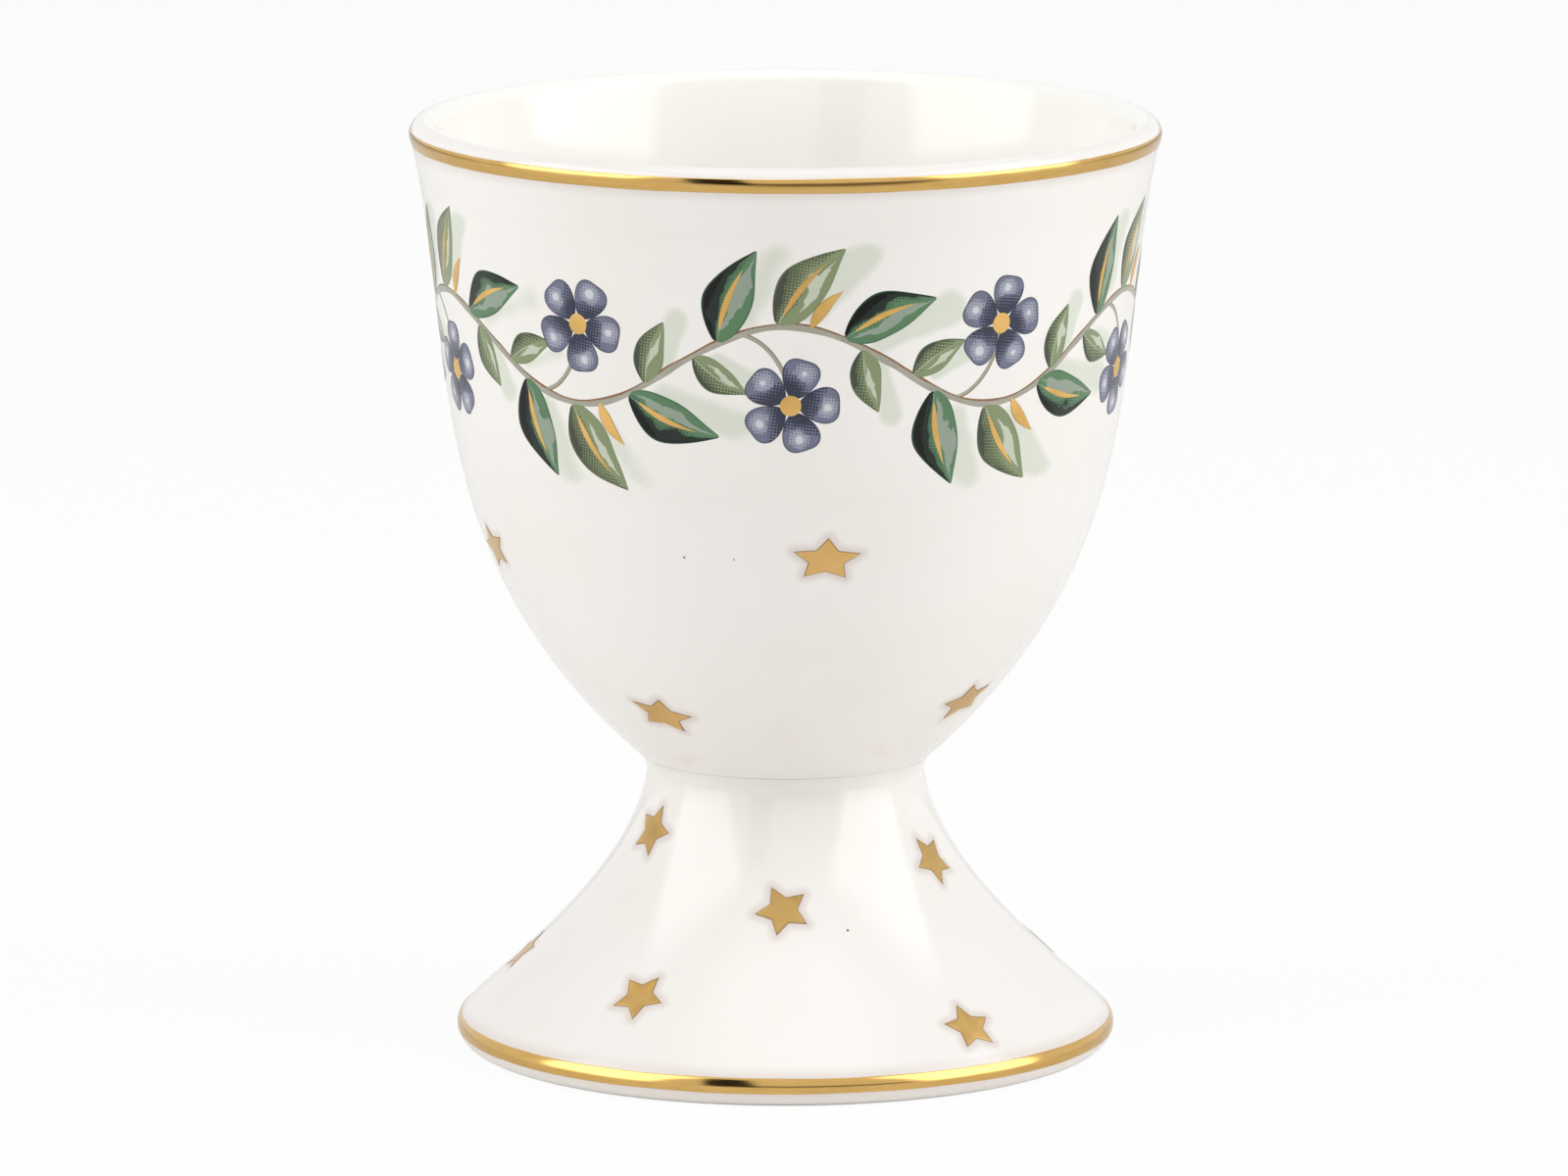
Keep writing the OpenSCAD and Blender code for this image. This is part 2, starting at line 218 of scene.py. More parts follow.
def arc(centre, radius, start, end, steps):
    """Arc: the centre plus the radius times (cos a, sin a), with a from start to end."""
    return centre + polar(radius, np.linspace(start, end, steps + 1))


def right_of(way):
    """Directions turned a quarter to the right."""
    return np.stack([way[..., 1], -way[..., 0]], -1)


def wall_curve(start, start_pull, start_way, end, end_pull, end_way):
    """Cubic between two points of (radius, height), which leaves and arrives at these angles."""
    return [start, start + polar(start_pull, start_way), end - polar(end_pull, end_way), end]


# The bowl's curve climbs, and the foot's runs down
lip_centre = np.array([lip_radius, cup_height - lip_round])
bowl_height = cup_height - seat_height
bowl_start = np.array([neck_radius, seat_height])
bowl_end = lip_centre + polar(lip_round, -lip_flare)
bowl_curve = wall_curve(
    bowl_start, bowl_height * lower_pull_share, seat_flare,
    bowl_end, bowl_height * upper_pull_share, math.pi / 2 - lip_flare,
)
foot_edge_centre = np.array([foot_radius, foot_edge_radius])
foot_start = np.array([neck_radius, foot_top])
foot_end = foot_edge_centre + polar(foot_edge_radius, math.pi / 2 - edge_slope)
foot_curve = wall_curve(
    foot_start, seat_height * neck_pull_share, neck_flare - math.pi / 2,
    foot_end, seat_height * edge_pull_share, -edge_slope,
)


def bowl_side(steps):
    """The bowl's curve, then the lip's arc up to its crest."""
    return np.vstack([
        bezier(bowl_curve, np.linspace(0, 1, steps)),
        arc(lip_centre, lip_round, -lip_flare, math.pi / 2, edge_steps)[1:],
    ])


def foot_side(steps):
    """The foot's curve, then its edge's arc down to the table."""
    return np.vstack([
        bezier(foot_curve, np.linspace(0, 1, steps)),
        arc(foot_edge_centre, foot_edge_radius, math.pi / 2 - edge_slope, -math.pi / 2, edge_steps)[1:],
    ])


def bowl_section():
    """Closed half section of the bowl, seat, outer wall, lip, inner wall and floor, and for each of its
    points a share of the inside's creamier, lighter tone (pooled glaze, and painted light), 0 outside and
    rising with the depth inside."""
    seat = np.array([[0, 1], [0.5, 1], [0.97, 1]]) * bowl_start
    t = np.linspace(1, floor_join_share, wall_steps)[1:]
    inner = bezier(bowl_curve, t) - bowl_wall * right_of(bezier_way(bowl_curve, t))
    join = inner[-1]
    floor_at = np.array([0, seat_height + floor_thickness])
    floor_curve = [
        join,
        join - join[0] * floor_join_pull_share * bezier_way(bowl_curve, floor_join_share),
        floor_at + np.array([join[0] * floor_pull_share, 0]),
        floor_at,
    ]
    lip = arc(lip_centre, lip_round, math.pi / 2, math.pi - lip_flare, edge_steps)[1:]
    floor = bezier(floor_curve, np.linspace(0, 1, floor_steps))[1:]
    section = np.vstack([seat, bowl_side(wall_steps), lip, inner, floor])
    inward = np.arange(len(section)) >= len(seat) + wall_steps + edge_steps
    depth = np.clip((cup_height - section[:, 1]) / cream_and_light_depth, 0, 1)
    cream_and_painted_light = cream_and_light_least_share + (1 - cream_and_light_least_share) * depth
    return section, np.where(inward & (section[:, 1] > seat_height), cream_and_painted_light, 0)


def foot_section():
    """Closed half section of the foot: outer wall, edge, standing ring, inner wall, top."""
    t = np.linspace(foot_inner_end_share, 0, wall_steps)
    inner = bezier(foot_curve, t) + foot_wall * right_of(bezier_way(foot_curve, t))
    ring = [foot_radius - standing_width, 0]
    ramp = np.linspace(ring, inner[0], edge_steps)[:-1]
    return np.vstack([foot_side(wall_steps), ramp, inner, [inner[-1][0], foot_top]])


def slip_section():
    """Closed half section of the slip: its ring and the fillet in the crease."""
    low = foot_start + slip_fillet * bezier_way(foot_curve, 0)
    high = bowl_start + slip_fillet * bezier_way(bowl_curve, 0)
    middle = (foot_start + bowl_start) / 2
    points = [low, (low + 2 * middle) / 3, (high + 2 * middle) / 3, high]
    fillet = bezier(points, np.linspace(0, 1, edge_steps))
    bore = foot_section()[-1][0]
    return np.vstack([[[bore, foot_top], foot_start], fillet, [bowl_start, [bore, seat_height]]])


def wall_table(line):
    """A wall's line as columns by height: height, radius, the radius's slope, the outward direction's two
    parts, length."""
    step = np.diff(line, axis=0)
    length = np.concatenate([[0], np.cumsum(np.linalg.norm(step, axis=1))])
    way = np.gradient(line, length, axis=0)
    if line[-1][1] < line[0][1]:
        way = -way
    way /= np.linalg.norm(way, axis=1, keepdims=True)
    out = right_of(way)
    slope = way[:, 0] / np.maximum(way[:, 1], 1e-6)
    table = np.column_stack([line[:, 1], line[:, 0], slope, out, length])
    return table[np.argsort(table[:, 0])]


fine = 1200
bowl_table = wall_table(bezier(bowl_curve, np.linspace(0, 1, fine)))
foot_table = wall_table(bezier(foot_curve, np.linspace(0, 1, fine)))


def read(table, key, column, at):
    """A column of the table at the given values of its key column."""
    order = np.argsort(table[:, key])
    return np.interp(at, table[order, key], table[order, column])


class Place:
    """A spot on a wall: its base point, and the drawing's right, up and out."""

    def __init__(self, curve, table, angle, share):
        self.table = table
        point = bezier(curve, share)
        out = [read(table, 0, 3, point[1]), read(table, 0, 4, point[1])]
        turn = math.radians(angle - 90)
        c, s = math.cos(turn), math.sin(turn)
        self.base = np.array([point[0] * c, point[0] * s, point[1]])
        self.right = np.array([-s, c, 0.0])
        self.out = np.array([out[0] * c, out[0] * s, out[1]])
        self.up = np.array([-out[1] * c, -out[1] * s, out[0]])

    def lay(self, flat, rise):
        """Each flat point goes along the drawing's outward direction until it meets the wall, and then
        off the wall by its rise. The miss, radius minus the wall's radius, is divided by its rate."""
        start = self.base + flat[..., :1] * self.right + flat[..., 1:2] * self.up
        depth = np.zeros(flat.shape[:-1])
        for _ in range(lay_steps):
            p = start + depth[..., None] * self.out
            radius = np.hypot(p[..., 0], p[..., 1])
            slope = read(self.table, 0, 2, p[..., 2])
            rate = (p[..., 0] * self.out[0] + p[..., 1] * self.out[1]) / radius - slope * self.out[2]
            depth -= (radius - read(self.table, 0, 1, p[..., 2])) / rate
        p = start + depth[..., None] * self.out
        radius = np.hypot(p[..., 0], p[..., 1])
        out_r = read(self.table, 0, 3, p[..., 2])
        out_z = read(self.table, 0, 4, p[..., 2])
        away = np.stack([p[..., 0] / radius * out_r, p[..., 1] / radius * out_r, out_z], -1)
        return p + np.asarray(rise)[..., None] * away


def skin(grid, loops=False, maps=None):
    """Closed skin over a grid of points: columns close on themselves; rows close too, or end in poles.
    Returns points, faces of four or three corners, and the maps' values for each point."""
    rows, columns = grid.shape[:2]
    maps = maps or {}
    number = np.arange(rows * columns).reshape(rows, columns)
    if not loops:
        number[0] = 0
        number[1:-1] = np.arange(1, 1 + (rows - 2) * columns).reshape(rows - 2, columns)
        number[-1] = 1 + (rows - 2) * columns
    keep = np.unique(number, return_index=True)[1]
    below = np.roll(number, -1, axis=0) if loops else number[1:]
    above = number if loops else number[:-1]
    quads = np.stack([above, np.roll(above, -1, 1), np.roll(below, -1, 1), below], -1).reshape(-1, 4)
    points = grid.reshape(-1, 3)[keep]
    a, b, c, d = (points[quads[:, k]] for k in range(4))
    volume = (np.cross(a, b) * c).sum() + (np.cross(a, c) * d).sum()
    if volume < 0:
        quads = quads[:, ::-1]
    values = {name: value.reshape(rows * columns, -1)[keep] for name, value in maps.items()}
    return points, quads, values


def make_piece(name, skins, material, node):
    """One mesh of several skins, with its maps; it may stand for a node, whose frame piece it hides, and
    takes the given material.
    """
    shift = np.cumsum([0] + [len(points) for points, _, _ in skins])
    points = np.vstack([s[0] for s in skins])
    quads = np.vstack([s[1] + shift[i] for i, s in enumerate(skins)])
    # A corner that repeats the one before it makes the face a triangle
    real = quads != np.roll(quads, 1, axis=1)
    corners = quads[real]
    counts = real.sum(1)
    mesh = bpy.data.meshes.new(name)
    mesh.vertices.add(len(points))
    mesh.vertices.foreach_set("co", points.astype(np.float32).ravel())
    mesh.loops.add(len(corners))
    mesh.loops.foreach_set("vertex_index", corners.astype(np.int32))
    mesh.polygons.add(len(counts))
    mesh.polygons.foreach_set("loop_start", (np.cumsum(counts) - counts).astype(np.int32))
    mesh.update(calc_edges=True)
    mesh.shade_smooth()
    for key in skins[0][2]:
        values = np.vstack([s[2][key] for s in skins]).astype(np.float32)
        if values.shape[1] == 2:
            layer = mesh.uv_layers.new(name=key, do_init=False)
            layer.uv.foreach_set("vector", values[corners].ravel())
        else:
            mesh.attributes.new(key, "FLOAT", "POINT").data.foreach_set("value", values.ravel())
    mesh.validate()
    mesh.materials.append(material)
    piece = bpy.data.objects.new(name, mesh)
    bpy.context.scene.collection.objects.link(piece)
    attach(piece, "root")
    if node:
        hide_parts(node)


def revolved(section, closed=False, within=None):
    """Each point of the half section goes round the axis as (r cos a, r sin a, z)."""
    a = np.arange(turns) * around / turns
    grid = polar(section[:, :1], a, section[:, 1:])
    maps = {} if within is None else {"within": within[:, None] + 0 * a}
    return skin(grid, loops=closed, maps=maps)


def cross_section(rise):
    """Thin layer's outline across its width: side -1 to 1 is cos a; the face rises from both edges as
    sin a to the steep edge's power, and the underside lies sunk in the glaze."""
    a = np.arange(blade_columns) * around / blade_columns
    face = np.maximum(np.sin(a), 0) ** steep_edge
    return np.cos(a), -sunk + (rise + sunk) * face


def wander(a, seed):
    """Slow waver round the cup, from -1 to 1: the mean of five sines with whole numbers of waves."""
    return sum(np.sin(n * a + seed * n * n) for n in line_waves) / len(line_waves)


def round_wall(table, length, rise, a):
    """Points round a wall at a length up it: (r cos a, r sin a, z), moved off the wall by the rise."""
    r, z, out_r, out_z = (read(table, 5, column, length) for column in (1, 0, 3, 4))
    return polar(r + rise * out_r, a, z + rise * out_z)


def gold_line(line, node, seed):
    """A gold line round a wall, between the node's heights: every cross-section runs over the side's
    length, with edges that waver a little inwards."""
    low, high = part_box(node)
    table = wall_table(line)
    side, rise = cross_section(gold_rise)
    a = np.arange(turns) * around / turns
    ends = [read(table, 0, 5, z) for z in (low[2], high[2])]
    inwards = np.sign(ends[1] - ends[0]) * line_wander
    lower = ends[0] + inwards * (1 + wander(a, seed))
    upper = ends[1] - inwards * (1 + wander(a, seed + 1))
    length = (lower + upper) / 2 + side[:, None] * (upper - lower) / 2
    return skin(round_wall(table, length, rise[:, None], a), loops=True)


def disc(outline, rise, edge_power=steep_edge):
    """A flat shape as a grid: rows go from its middle out to the outline as sin a and back under it, and
    the face rises as cos a to the edge's power. Gives flat points, shares of the way out, and rises."""
    a = np.linspace(0, math.pi, disc_rows)[:, None]
    share = np.sin(a)
    share[-1] = 0
    height = -sunk + (rise + sunk) * np.maximum(np.cos(a), 0) ** edge_power
    middle = outline.mean(0)
    flat = middle + share[..., None] * (outline - middle)
    blank = 0 * flat[..., 0]
    return flat, share + blank, height + blank


def turn(flat, degrees):
    """Flat points turned about the drawing's origin."""
    c, s = math.cos(math.radians(degrees)), math.sin(math.radians(degrees))
    return flat @ np.array([[c, s], [-s, c]])


def star_outline(radius, height_share=1.0, steps=8):
    """Star with one point up: straight runs between points at the radius and waists at its share, with
    the heights taken down to a share."""
    k = np.arange(2 * star_points)
    r = np.where(k % 2 == 0, radius, radius * star_waist_share)
    a = math.pi / 2 + math.pi * k / star_points
    corners = polar(r, a) * [1, height_share]
    run = np.arange(steps)[None, :, None] / steps
    following = np.roll(corners, -1, axis=0)
    return (corners[:, None] * (1 - run) + following[:, None] * run).reshape(-1, 2)


def off_outline(flat, corners):
    """Distance of flat points from a closed outline: the least of those to its straight runs."""
    run = np.roll(corners, -1, axis=0) - corners
    gap = flat[..., None, :] - corners
    share = np.clip((gap * run).sum(-1) / (run * run).sum(-1), 0, 1)
    return np.linalg.norm(gap - share[..., None] * run, axis=-1).min(-1)


def star_skins(curve, table, shares, star, outline=None):
    """A gold star at each listed place, with a map of the share of the way to its edge; or, with an
    outline, the thin halo round each, of rosy tint and painted shade, with a map of the distance from the
    star over the halo's width."""
    if outline is None:
        flat, edge, height = disc(star, gold_rise)
    else:
        flat, edge, height = disc(outline, glow_rise, gentle_edge)
        edge = off_outline(flat, star) / halo_width
    return [
        skin(Place(curve, table, angle, share).lay(turn(flat, spin), height), maps={"edge": edge})
        for angle, share, spin in shares
    ]


def halo_outline(radius, height_share=1.0):
    """Round a star: a circle that swells at the points, the radius times the halo's share plus its swell
    times cos(5a), with the heights taken down like the star's."""
    a = np.arange(halo_steps) * around / halo_steps
    r = radius * (halo_share + halo_swell * np.cos(star_points * (a - math.pi / 2)))
    return polar(r, a) * [1, height_share]


# Sizes of the vine's drawing
vine_radius = bezier(bowl_curve, vine_place_share)[0]
half_arch = math.pi / arch_count
arch_width = around * vine_radius / arch_count
arch_height = arch_width * arch_height_share
large_leaf = arch_width * large_leaf_share
small_leaf = arch_width * small_leaf_share
flower_radius = arch_width * flower_share
flower_at = flower_radius * np.array([flower_shift_share, -flower_drop_share])
vine_places = [
    Place(bowl_curve, bowl_table, 360 * cell / arch_count, vine_place_share) for cell in range(arch_count)
]


def stem_at(s):
    """Middle line of the stem: x is the vine's radius times sin(s half_arch), y the arch's height times
    cos(90 s degrees)."""
    s = np.asarray(s, float)
    return np.stack([vine_radius * np.sin(s * half_arch), arch_height * np.cos(math.pi / 2 * s)], -1)


def stem_way(s):
    """Direction of that line, from its derivative."""
    s = np.asarray(s, float)
    return np.stack([
        half_arch * vine_radius * np.cos(s * half_arch),
        -math.pi / 2 * arch_height * np.sin(math.pi / 2 * s),
    ], -1)


def in_cell(cell, flat, rise):
    """Lays a drawing in a cell, upside down in every second one, and gives its points' places on the
    unrolled print sheet in millimetres too."""
    flat = flat * [1, -1 if cell % 2 else 1]
    return vine_places[cell].lay(flat, rise + 0 * flat[..., 0]), flat / mm + [arch_width / mm * cell, 0]


def laid_in_cell(cell, flat, rise, maps):
    """The closed skin of a drawing laid in a cell, with the print sheet as one more map."""
    grid, sheet = in_cell(cell, flat, rise)
    return skin(grid, maps={**maps, "sheet": sheet})


def band(middle, way, half_width, across):
    """Flat points of a band: its middle line, and from there the side times half its width to the left
    of the line's direction."""
    left = -right_of(way / np.linalg.norm(way, axis=-1, keepdims=True))
    return middle[:, None] + across[:, None] * (half_width[:, None] * left)[:, None]


def on_stem(cell, leaf, flat):
    """A leaf's drawing at its scale, on its side of the stem, turned by its lean and a sway of its own,
    and put at its place on the stem."""
    share, side, lean, scale = leaf
    sway = leaf_sway * math.sin(math.radians(sway_turn * (cell + share) * arch_count))
    way = stem_way(share)
    slope = math.degrees(math.atan2(way[1], way[0]))
    return turn(scale * flat * [1, side], slope + side * lean + sway) + stem_at(share)


def leaf_seed(cell, leaf):
    """A number from 0 to 1 for each leaf: the fraction of a large multiple of a sine."""
    return math.modf(abs(math.sin((cell * 7 + leaf[0] * 31 + 3) * 12.9898)) * 437.5453)[0]


def blade(cell, leaf, length, width, rise, start=0.0, end=1.0):
    """A leaf's blade: along its middle line, which bends as sin(180 u), its half width is
    sin(180 u^power) of the width, less an uneven bit as a brush leaves it; the cross-section is a
    thin layer's, which sinks towards both tips as sin(180 u) to half the edge's power."""
    u = np.linspace(0, 1, blade_rows)[:, None]
    across, height = cross_section(rise)
    height = -sunk + (height + sunk) * np.maximum(np.sin(math.pi * u), 0) ** (steep_edge / 2)
    seed = leaf_seed(cell, leaf)
    half = width / 2 * np.sin(math.pi * u**leaf_bulge_power)
    half[[0, -1]] = 0
    slow = np.sin(around * (brush_waves[0] * u + seed + brush_slant * across))
    slower = np.sin(around * (brush_waves[1] * u + 3 * seed))
    brushed = 1 - brush_share * (1 + slow * slower)
    along = start + (end - start) * u
    x = length * along + 0 * across
    y = length * leaf_bend_share * np.sin(math.pi * along) + half * across * brushed
    flat = on_stem(cell, leaf, np.stack([x, y], -1))
    blade_map = np.stack(np.broadcast_arrays(u, across), -1)
    return laid_in_cell(cell, flat, height, {"blade": blade_map, "seed": seed + 0 * x})


def blades(shares, length, width, rise, start=0.0, end=1.0):
    """The same leaves in every cell."""
    return [
        blade(cell, leaf, length, width, rise, start, end)
        for cell in range(arch_count) for leaf in shares
    ]


def wash_band():
    """A thin layer round the bowl behind the vine: the face rises from both edges as 1 - s^4. Its map is
    the most that any leaf gives to a point: 1 less the distance from a line beside the leaf and past its
    tip over that line's reach, times the leaf's own strength."""
    a = np.arange(wash_columns) * around / wash_columns
    up = np.linspace(-1, 1, wash_rows)
    side = np.concatenate([up, up[-2:0:-6]])[:, None]
    face = np.concatenate([1 - up**4, 0 * up[-2:0:-6]])[:, None]
    middle = read(bowl_table, 0, 5, vine_places[0].base[2])
    up_wall = middle + side * wash_half_height + 0 * a
    grid = round_wall(bowl_table, up_wall, -sunk + (glow_rise + sunk) * face, a)
    share = np.zeros(grid.shape[:2])
    u = np.linspace(wash_start_share, wash_end_share, 10)
    washed = [(leaf, large_leaf) for leaf in dark_leaf_shares + sage_leaf_shares]
    washed += [(leaf, small_leaf) for leaf in small_leaf_shares]
    for cell in range(arch_count):
        for leaf, length in washed:
            flat = on_stem(cell, leaf, length * np.stack([u, wash_side_share + 0 * u], -1))
            line = in_cell(cell, flat, 0)[0]
            reach = wash_reach_share * length * leaf[3] * (0.6 + 0.4 * u)
            far = np.linalg.norm(grid[:, :, None] - line, axis=-1)
            strength = wash_least_share + (1 - wash_least_share) * leaf_seed(cell, leaf)
            share = np.maximum(share, strength * (1 - far / reach).max(-1))
    share = share * np.clip((1 - wash_margin_share - abs(side)) / wash_margin_share, 0, 1)
    return skin(grid, loops=True, maps={"wash": share})


def petal_outline():
    """Petal along +X: an oval (cos a, sin a) that swells towards a tip notched by cos a to a power."""
    a = np.arange(petal_steps) * around / petal_steps
    middle = flower_radius * (1 + petal_start_share) / 2
    reach = flower_radius * (1 - petal_start_share) / 2
    notch = petal_notch_share * np.maximum(np.cos(a), 0) ** petal_notch_power
    x = middle + reach * np.cos(a) * (1 - notch)
    y = flower_radius * petal_half_share * np.sin(a) * (1 + petal_swell_share * np.cos(a))
    return np.stack([x, y], -1)


def flower_shape(cell, outline, rise, spin, seed):
    """A flat shape of a flower, with maps of the place along and across the petal and of its edge."""
    flat, edge, height = disc(outline, rise)
    maps = {"blade": flat / flower_radius, "seed": seed + 0 * edge, "edge": edge}
    return laid_in_cell(cell, turn(flat, spin) + flower_at, height, maps)


def petal_skins():
    """Five petals in every cell, turned on from cell to cell."""
    outline = petal_outline()
    skins = []
    for cell in range(arch_count):
        for k in range(petal_count):
            spin = sway_turn * cell + 360 * k / petal_count
            seed = (cell * petal_count + k) % seed_count / seed_count
            skins.append(flower_shape(cell, outline, petal_rise, spin, seed))
    return skins


def eye_skins():
    """The round gold eye of every flower."""
    a = np.arange(eye_steps) * around / eye_steps
    outline = polar(flower_radius * flower_eye_share, a)
    return [flower_shape(cell, outline, gold_rise, 0, 0.5) for cell in range(arch_count)]


def stem_skin():
    """The stem round the whole bowl: one closed loop of cross-sections, cell after cell."""
    across, height = cross_section(stem_rise)
    # Columns in the order that swaps the two edges and keeps the face on top
    mirrored = (blade_columns // 2 - np.arange(blade_columns)) % blade_columns
    rows = []
    for cell in range(arch_count):
        s = np.linspace(-1, 1, stem_steps + 1)[:-1]
        half = arch_width * stem_share / 2 * (1 + stem_uneven_share * np.sin(stem_waves * s + 2 * cell))
        half[0] = arch_width * stem_share / 2
        flat = band(stem_at(s), stem_way(s), half, across)
        if cell % 2:
            flat = flat[:, mirrored]
        rows.append(in_cell(cell, flat, height))
    grid, sheet = (np.vstack(part) for part in zip(*rows))
    blade_map = np.stack(np.broadcast_arrays(0, 0 * grid[..., 0] + across), -1)
    return skin(grid, loops=True, maps={"sheet": sheet, "blade": blade_map})


def stalk_skins():
    """The stalk from the stem down to each flower: a band along a cubic curve, closed at both ends."""
    across, height = cross_section(stalk_rise)
    root = stem_at(stalk_root_share)
    bend = np.array([flower_at[0], root[1]])
    curve = [root, (root + bend) / 2, (bend + flower_at) / 2, flower_at]
    u = np.linspace(0, 1, blade_rows)
    half = arch_width * stalk_share / 2 * (1 - (2 * u - 1) ** 12)
    flat = band(bezier(curve, u), bezier_way(curve, u), half, across)
    blade_map = np.stack(np.broadcast_arrays(u[:, None], across), -1)
    return [laid_in_cell(cell, flat, height, {"blade": blade_map}) for cell in range(arch_count)]


# Printer's dots: distance in millimetres, lean in degrees, and radius at full tone as a share of the
# distance
dot_pitch = 0.215
dot_lean = 8
dot_growth = 0.72
enamel_gloss = {"Roughness": 0.2, "IOR": 1.5, "Specular_IOR_Level": 0.22}


def srgb(red, green, blue):
    """A colour as the eye names it, 0 to 255, turned into light."""
    levels = np.array([red, green, blue]) / 255
    light = np.where(levels <= 0.04045, levels / 12.92, ((levels + 0.055) / 1.055) ** 2.4)
    return (*light.tolist(), 1.0)


class Level:
    """A number that changes over a surface, as a node's output; arithmetic on it adds nodes."""

    def __init__(self, tree, socket):
        self.tree = tree
        self.socket = socket

    def step(self, low, high):
        """0 below low, 1 above high, and a smooth rise between."""
        made = put(self.tree, "MapRange", {0: self, 1: low, 2: high}, interpolation_type="SMOOTHSTEP")
        return Level(self.tree, made.outputs[0])

    def ramp(self, low, high, start, end):
        """Start at low, end at high, and a straight run between."""
        made = put(self.tree, "MapRange", {0: self, 1: low, 2: high, 3: start, 4: end})
        return Level(self.tree, made.outputs[0])

    def __add__(self, other):
        return calculate("ADD", self, other)

    def __sub__(self, other):
        return calculate("SUBTRACT", self, other)

    def __rsub__(self, other):
        return calculate("SUBTRACT", other, self)

    def __mul__(self, other):
        return calculate("MULTIPLY", self, other)

    def __abs__(self):
        return calculate("ABSOLUTE", self)


def calculate(operation, *values):
    """One arithmetic step on levels and numbers."""
    tree = next(value.tree for value in values if isinstance(value, Level))
    return Level(tree, put(tree, "Math", dict(enumerate(values)), operation=operation).outputs[0])


def fill(tree, node, values):
    """Fills a node's inputs with numbers, colours, levels or other nodes' outputs."""
    for key, value in values.items():
        value = value.socket if isinstance(value, Level) else value
        if isinstance(value, bpy.types.NodeSocket):
            tree.links.new(value, node.inputs[key])
        else:
            node.inputs[key].default_value = value


def put(tree, kind, inputs=None, **settings):
    """Adds a node with its settings, and fills its inputs."""
    made = tree.nodes.new("ShaderNode" + kind)
    for key, value in settings.items():
        setattr(made, key, value)
    fill(tree, made, inputs or {})
    return made


def parts(tree, vector):
    """The three numbers of a vector."""
    return [Level(tree, output) for output in put(tree, "SeparateXYZ", {0: vector}).outputs]


def joined(tree, *numbers):
    """A vector of three numbers."""
    return put(tree, "CombineXYZ", dict(enumerate(numbers))).outputs[0]


def noise(tree, place, scale, detail, roughness=0.5):
    """Cloudy noise, from 0 to 1."""
    inputs = {"Vector": place, "Scale": scale, "Detail": detail, "Roughness": roughness}
    return Level(tree, put(tree, "TexNoise", inputs).outputs[0])


def vector_step(tree, operation, *values, **named):
    """One arithmetic step on vectors."""
    return put(tree, "VectorMath", {**dict(enumerate(values)), **named}, operation=operation).outputs


def blend(tree, share, first, second):
    """A colour from the first to the second, by the share."""
    return put(tree, "Mix", {0: share, 6: first, 7: second}, data_type="RGBA").outputs[2]


def layered(tree, colour, *layers):
    """Lays tones over a colour, one after another, each by its share."""
    for share, tone in layers:
        colour = blend(tree, share, colour, tone)
    return colour


def object_place(tree):
    """Object coordinates."""
    return put(tree, "TexCoord").outputs["Object"]


def mapped(tree, name):
    """A piece's own map of two numbers."""
    return put(tree, "UVMap", uv_map=name).outputs[0]


def attribute(tree, name):
    """A piece's own map of one number."""
    return Level(tree, put(tree, "Attribute", attribute_name=name).outputs["Fac"])


def bump(tree, height, distance):
    """The normal that a height gives; the distance is the height's real scale in metres."""
    return put(tree, "Bump", {"Height": height, "Distance": distance, "Strength": 1.0}).outputs[0]


def new_group(name, inputs, outputs):
    """A shader node group with named sockets: its tree, its inputs as levels, its output node."""
    tree = bpy.data.node_groups.new(name, "ShaderNodeTree")
    for key, kind in inputs.items():
        tree.interface.new_socket(key, in_out="INPUT", socket_type="NodeSocket" + kind)
    for key in outputs:
        tree.interface.new_socket(key, in_out="OUTPUT", socket_type="NodeSocketFloat")
    start = tree.nodes.new("NodeGroupInput")
    given = {key: Level(tree, start.outputs[key]) for key in inputs}
    return tree, given, tree.nodes.new("NodeGroupOutput")


def screen_dots_group():
    """Printer's dots in rows that lean a little: the higher the tone, the larger each dot."""
    kinds = {"Sheet": "Vector", "Pitch": "Float", "Tone": "Float"}
    tree, given, result = new_group("screen_dots", kinds, ["Mask"])
    lean = {"Vector": given["Sheet"], "Angle": math.radians(dot_lean)}
    turned = put(tree, "VectorRotate", lean, rotation_type="Z_AXIS").outputs[0]
    scaled = vector_step(tree, "SCALE", turned, Scale=calculate("DIVIDE", 1.0, given["Pitch"]))[0]
    cell = vector_step(tree, "FRACTION", scaled)[0]
    centred = vector_step(tree, "SUBTRACT", cell, (0.5, 0.5, 0))[0]
    flat = vector_step(tree, "MULTIPLY", centred, (1, 1, 0))[0]
    far = Level(tree, vector_step(tree, "LENGTH", flat)["Value"])
    inside = given["Tone"] * dot_growth - far
    fill(tree, result, {"Mask": inside.step(-0.06, 0.06)})
    return tree


def brush_wash_group():
    """Painted tones on a leaf: an uneven value that is high along one edge and low in the middle of the
    other half, and a thin line along the leaf's edge and its middle rib."""
    kinds = {"Blade": "Vector", "Seed": "Float", "Unevenness": "Float", "Pale": "Float"}
    tree, given, result = new_group("brush_wash", kinds, ["Shade", "Light", "Rim", "Rib"])
    along, across, _ = parts(tree, given["Blade"])
    place = joined(tree, along * 2.6, across * 0.9, given["Seed"] * 23.0)
    waver = (noise(tree, place, 1.0, 3.0, 0.55) - 0.5) * given["Unevenness"]
    off_middle = abs(across + 0.36 + waver)
    off_end = abs(along - 0.55) * 0.85
    fill(tree, result, {
        "Shade": across + waver + (0.45 - along) * 0.55,
        "Light": given["Pale"] - (off_middle + off_end),
        "Rim": abs(across).step(0.86, 0.95),
        "Rib": ((1.0 - along) * 0.07 - abs(across)).step(-0.01, 0.015),
    })
    return tree


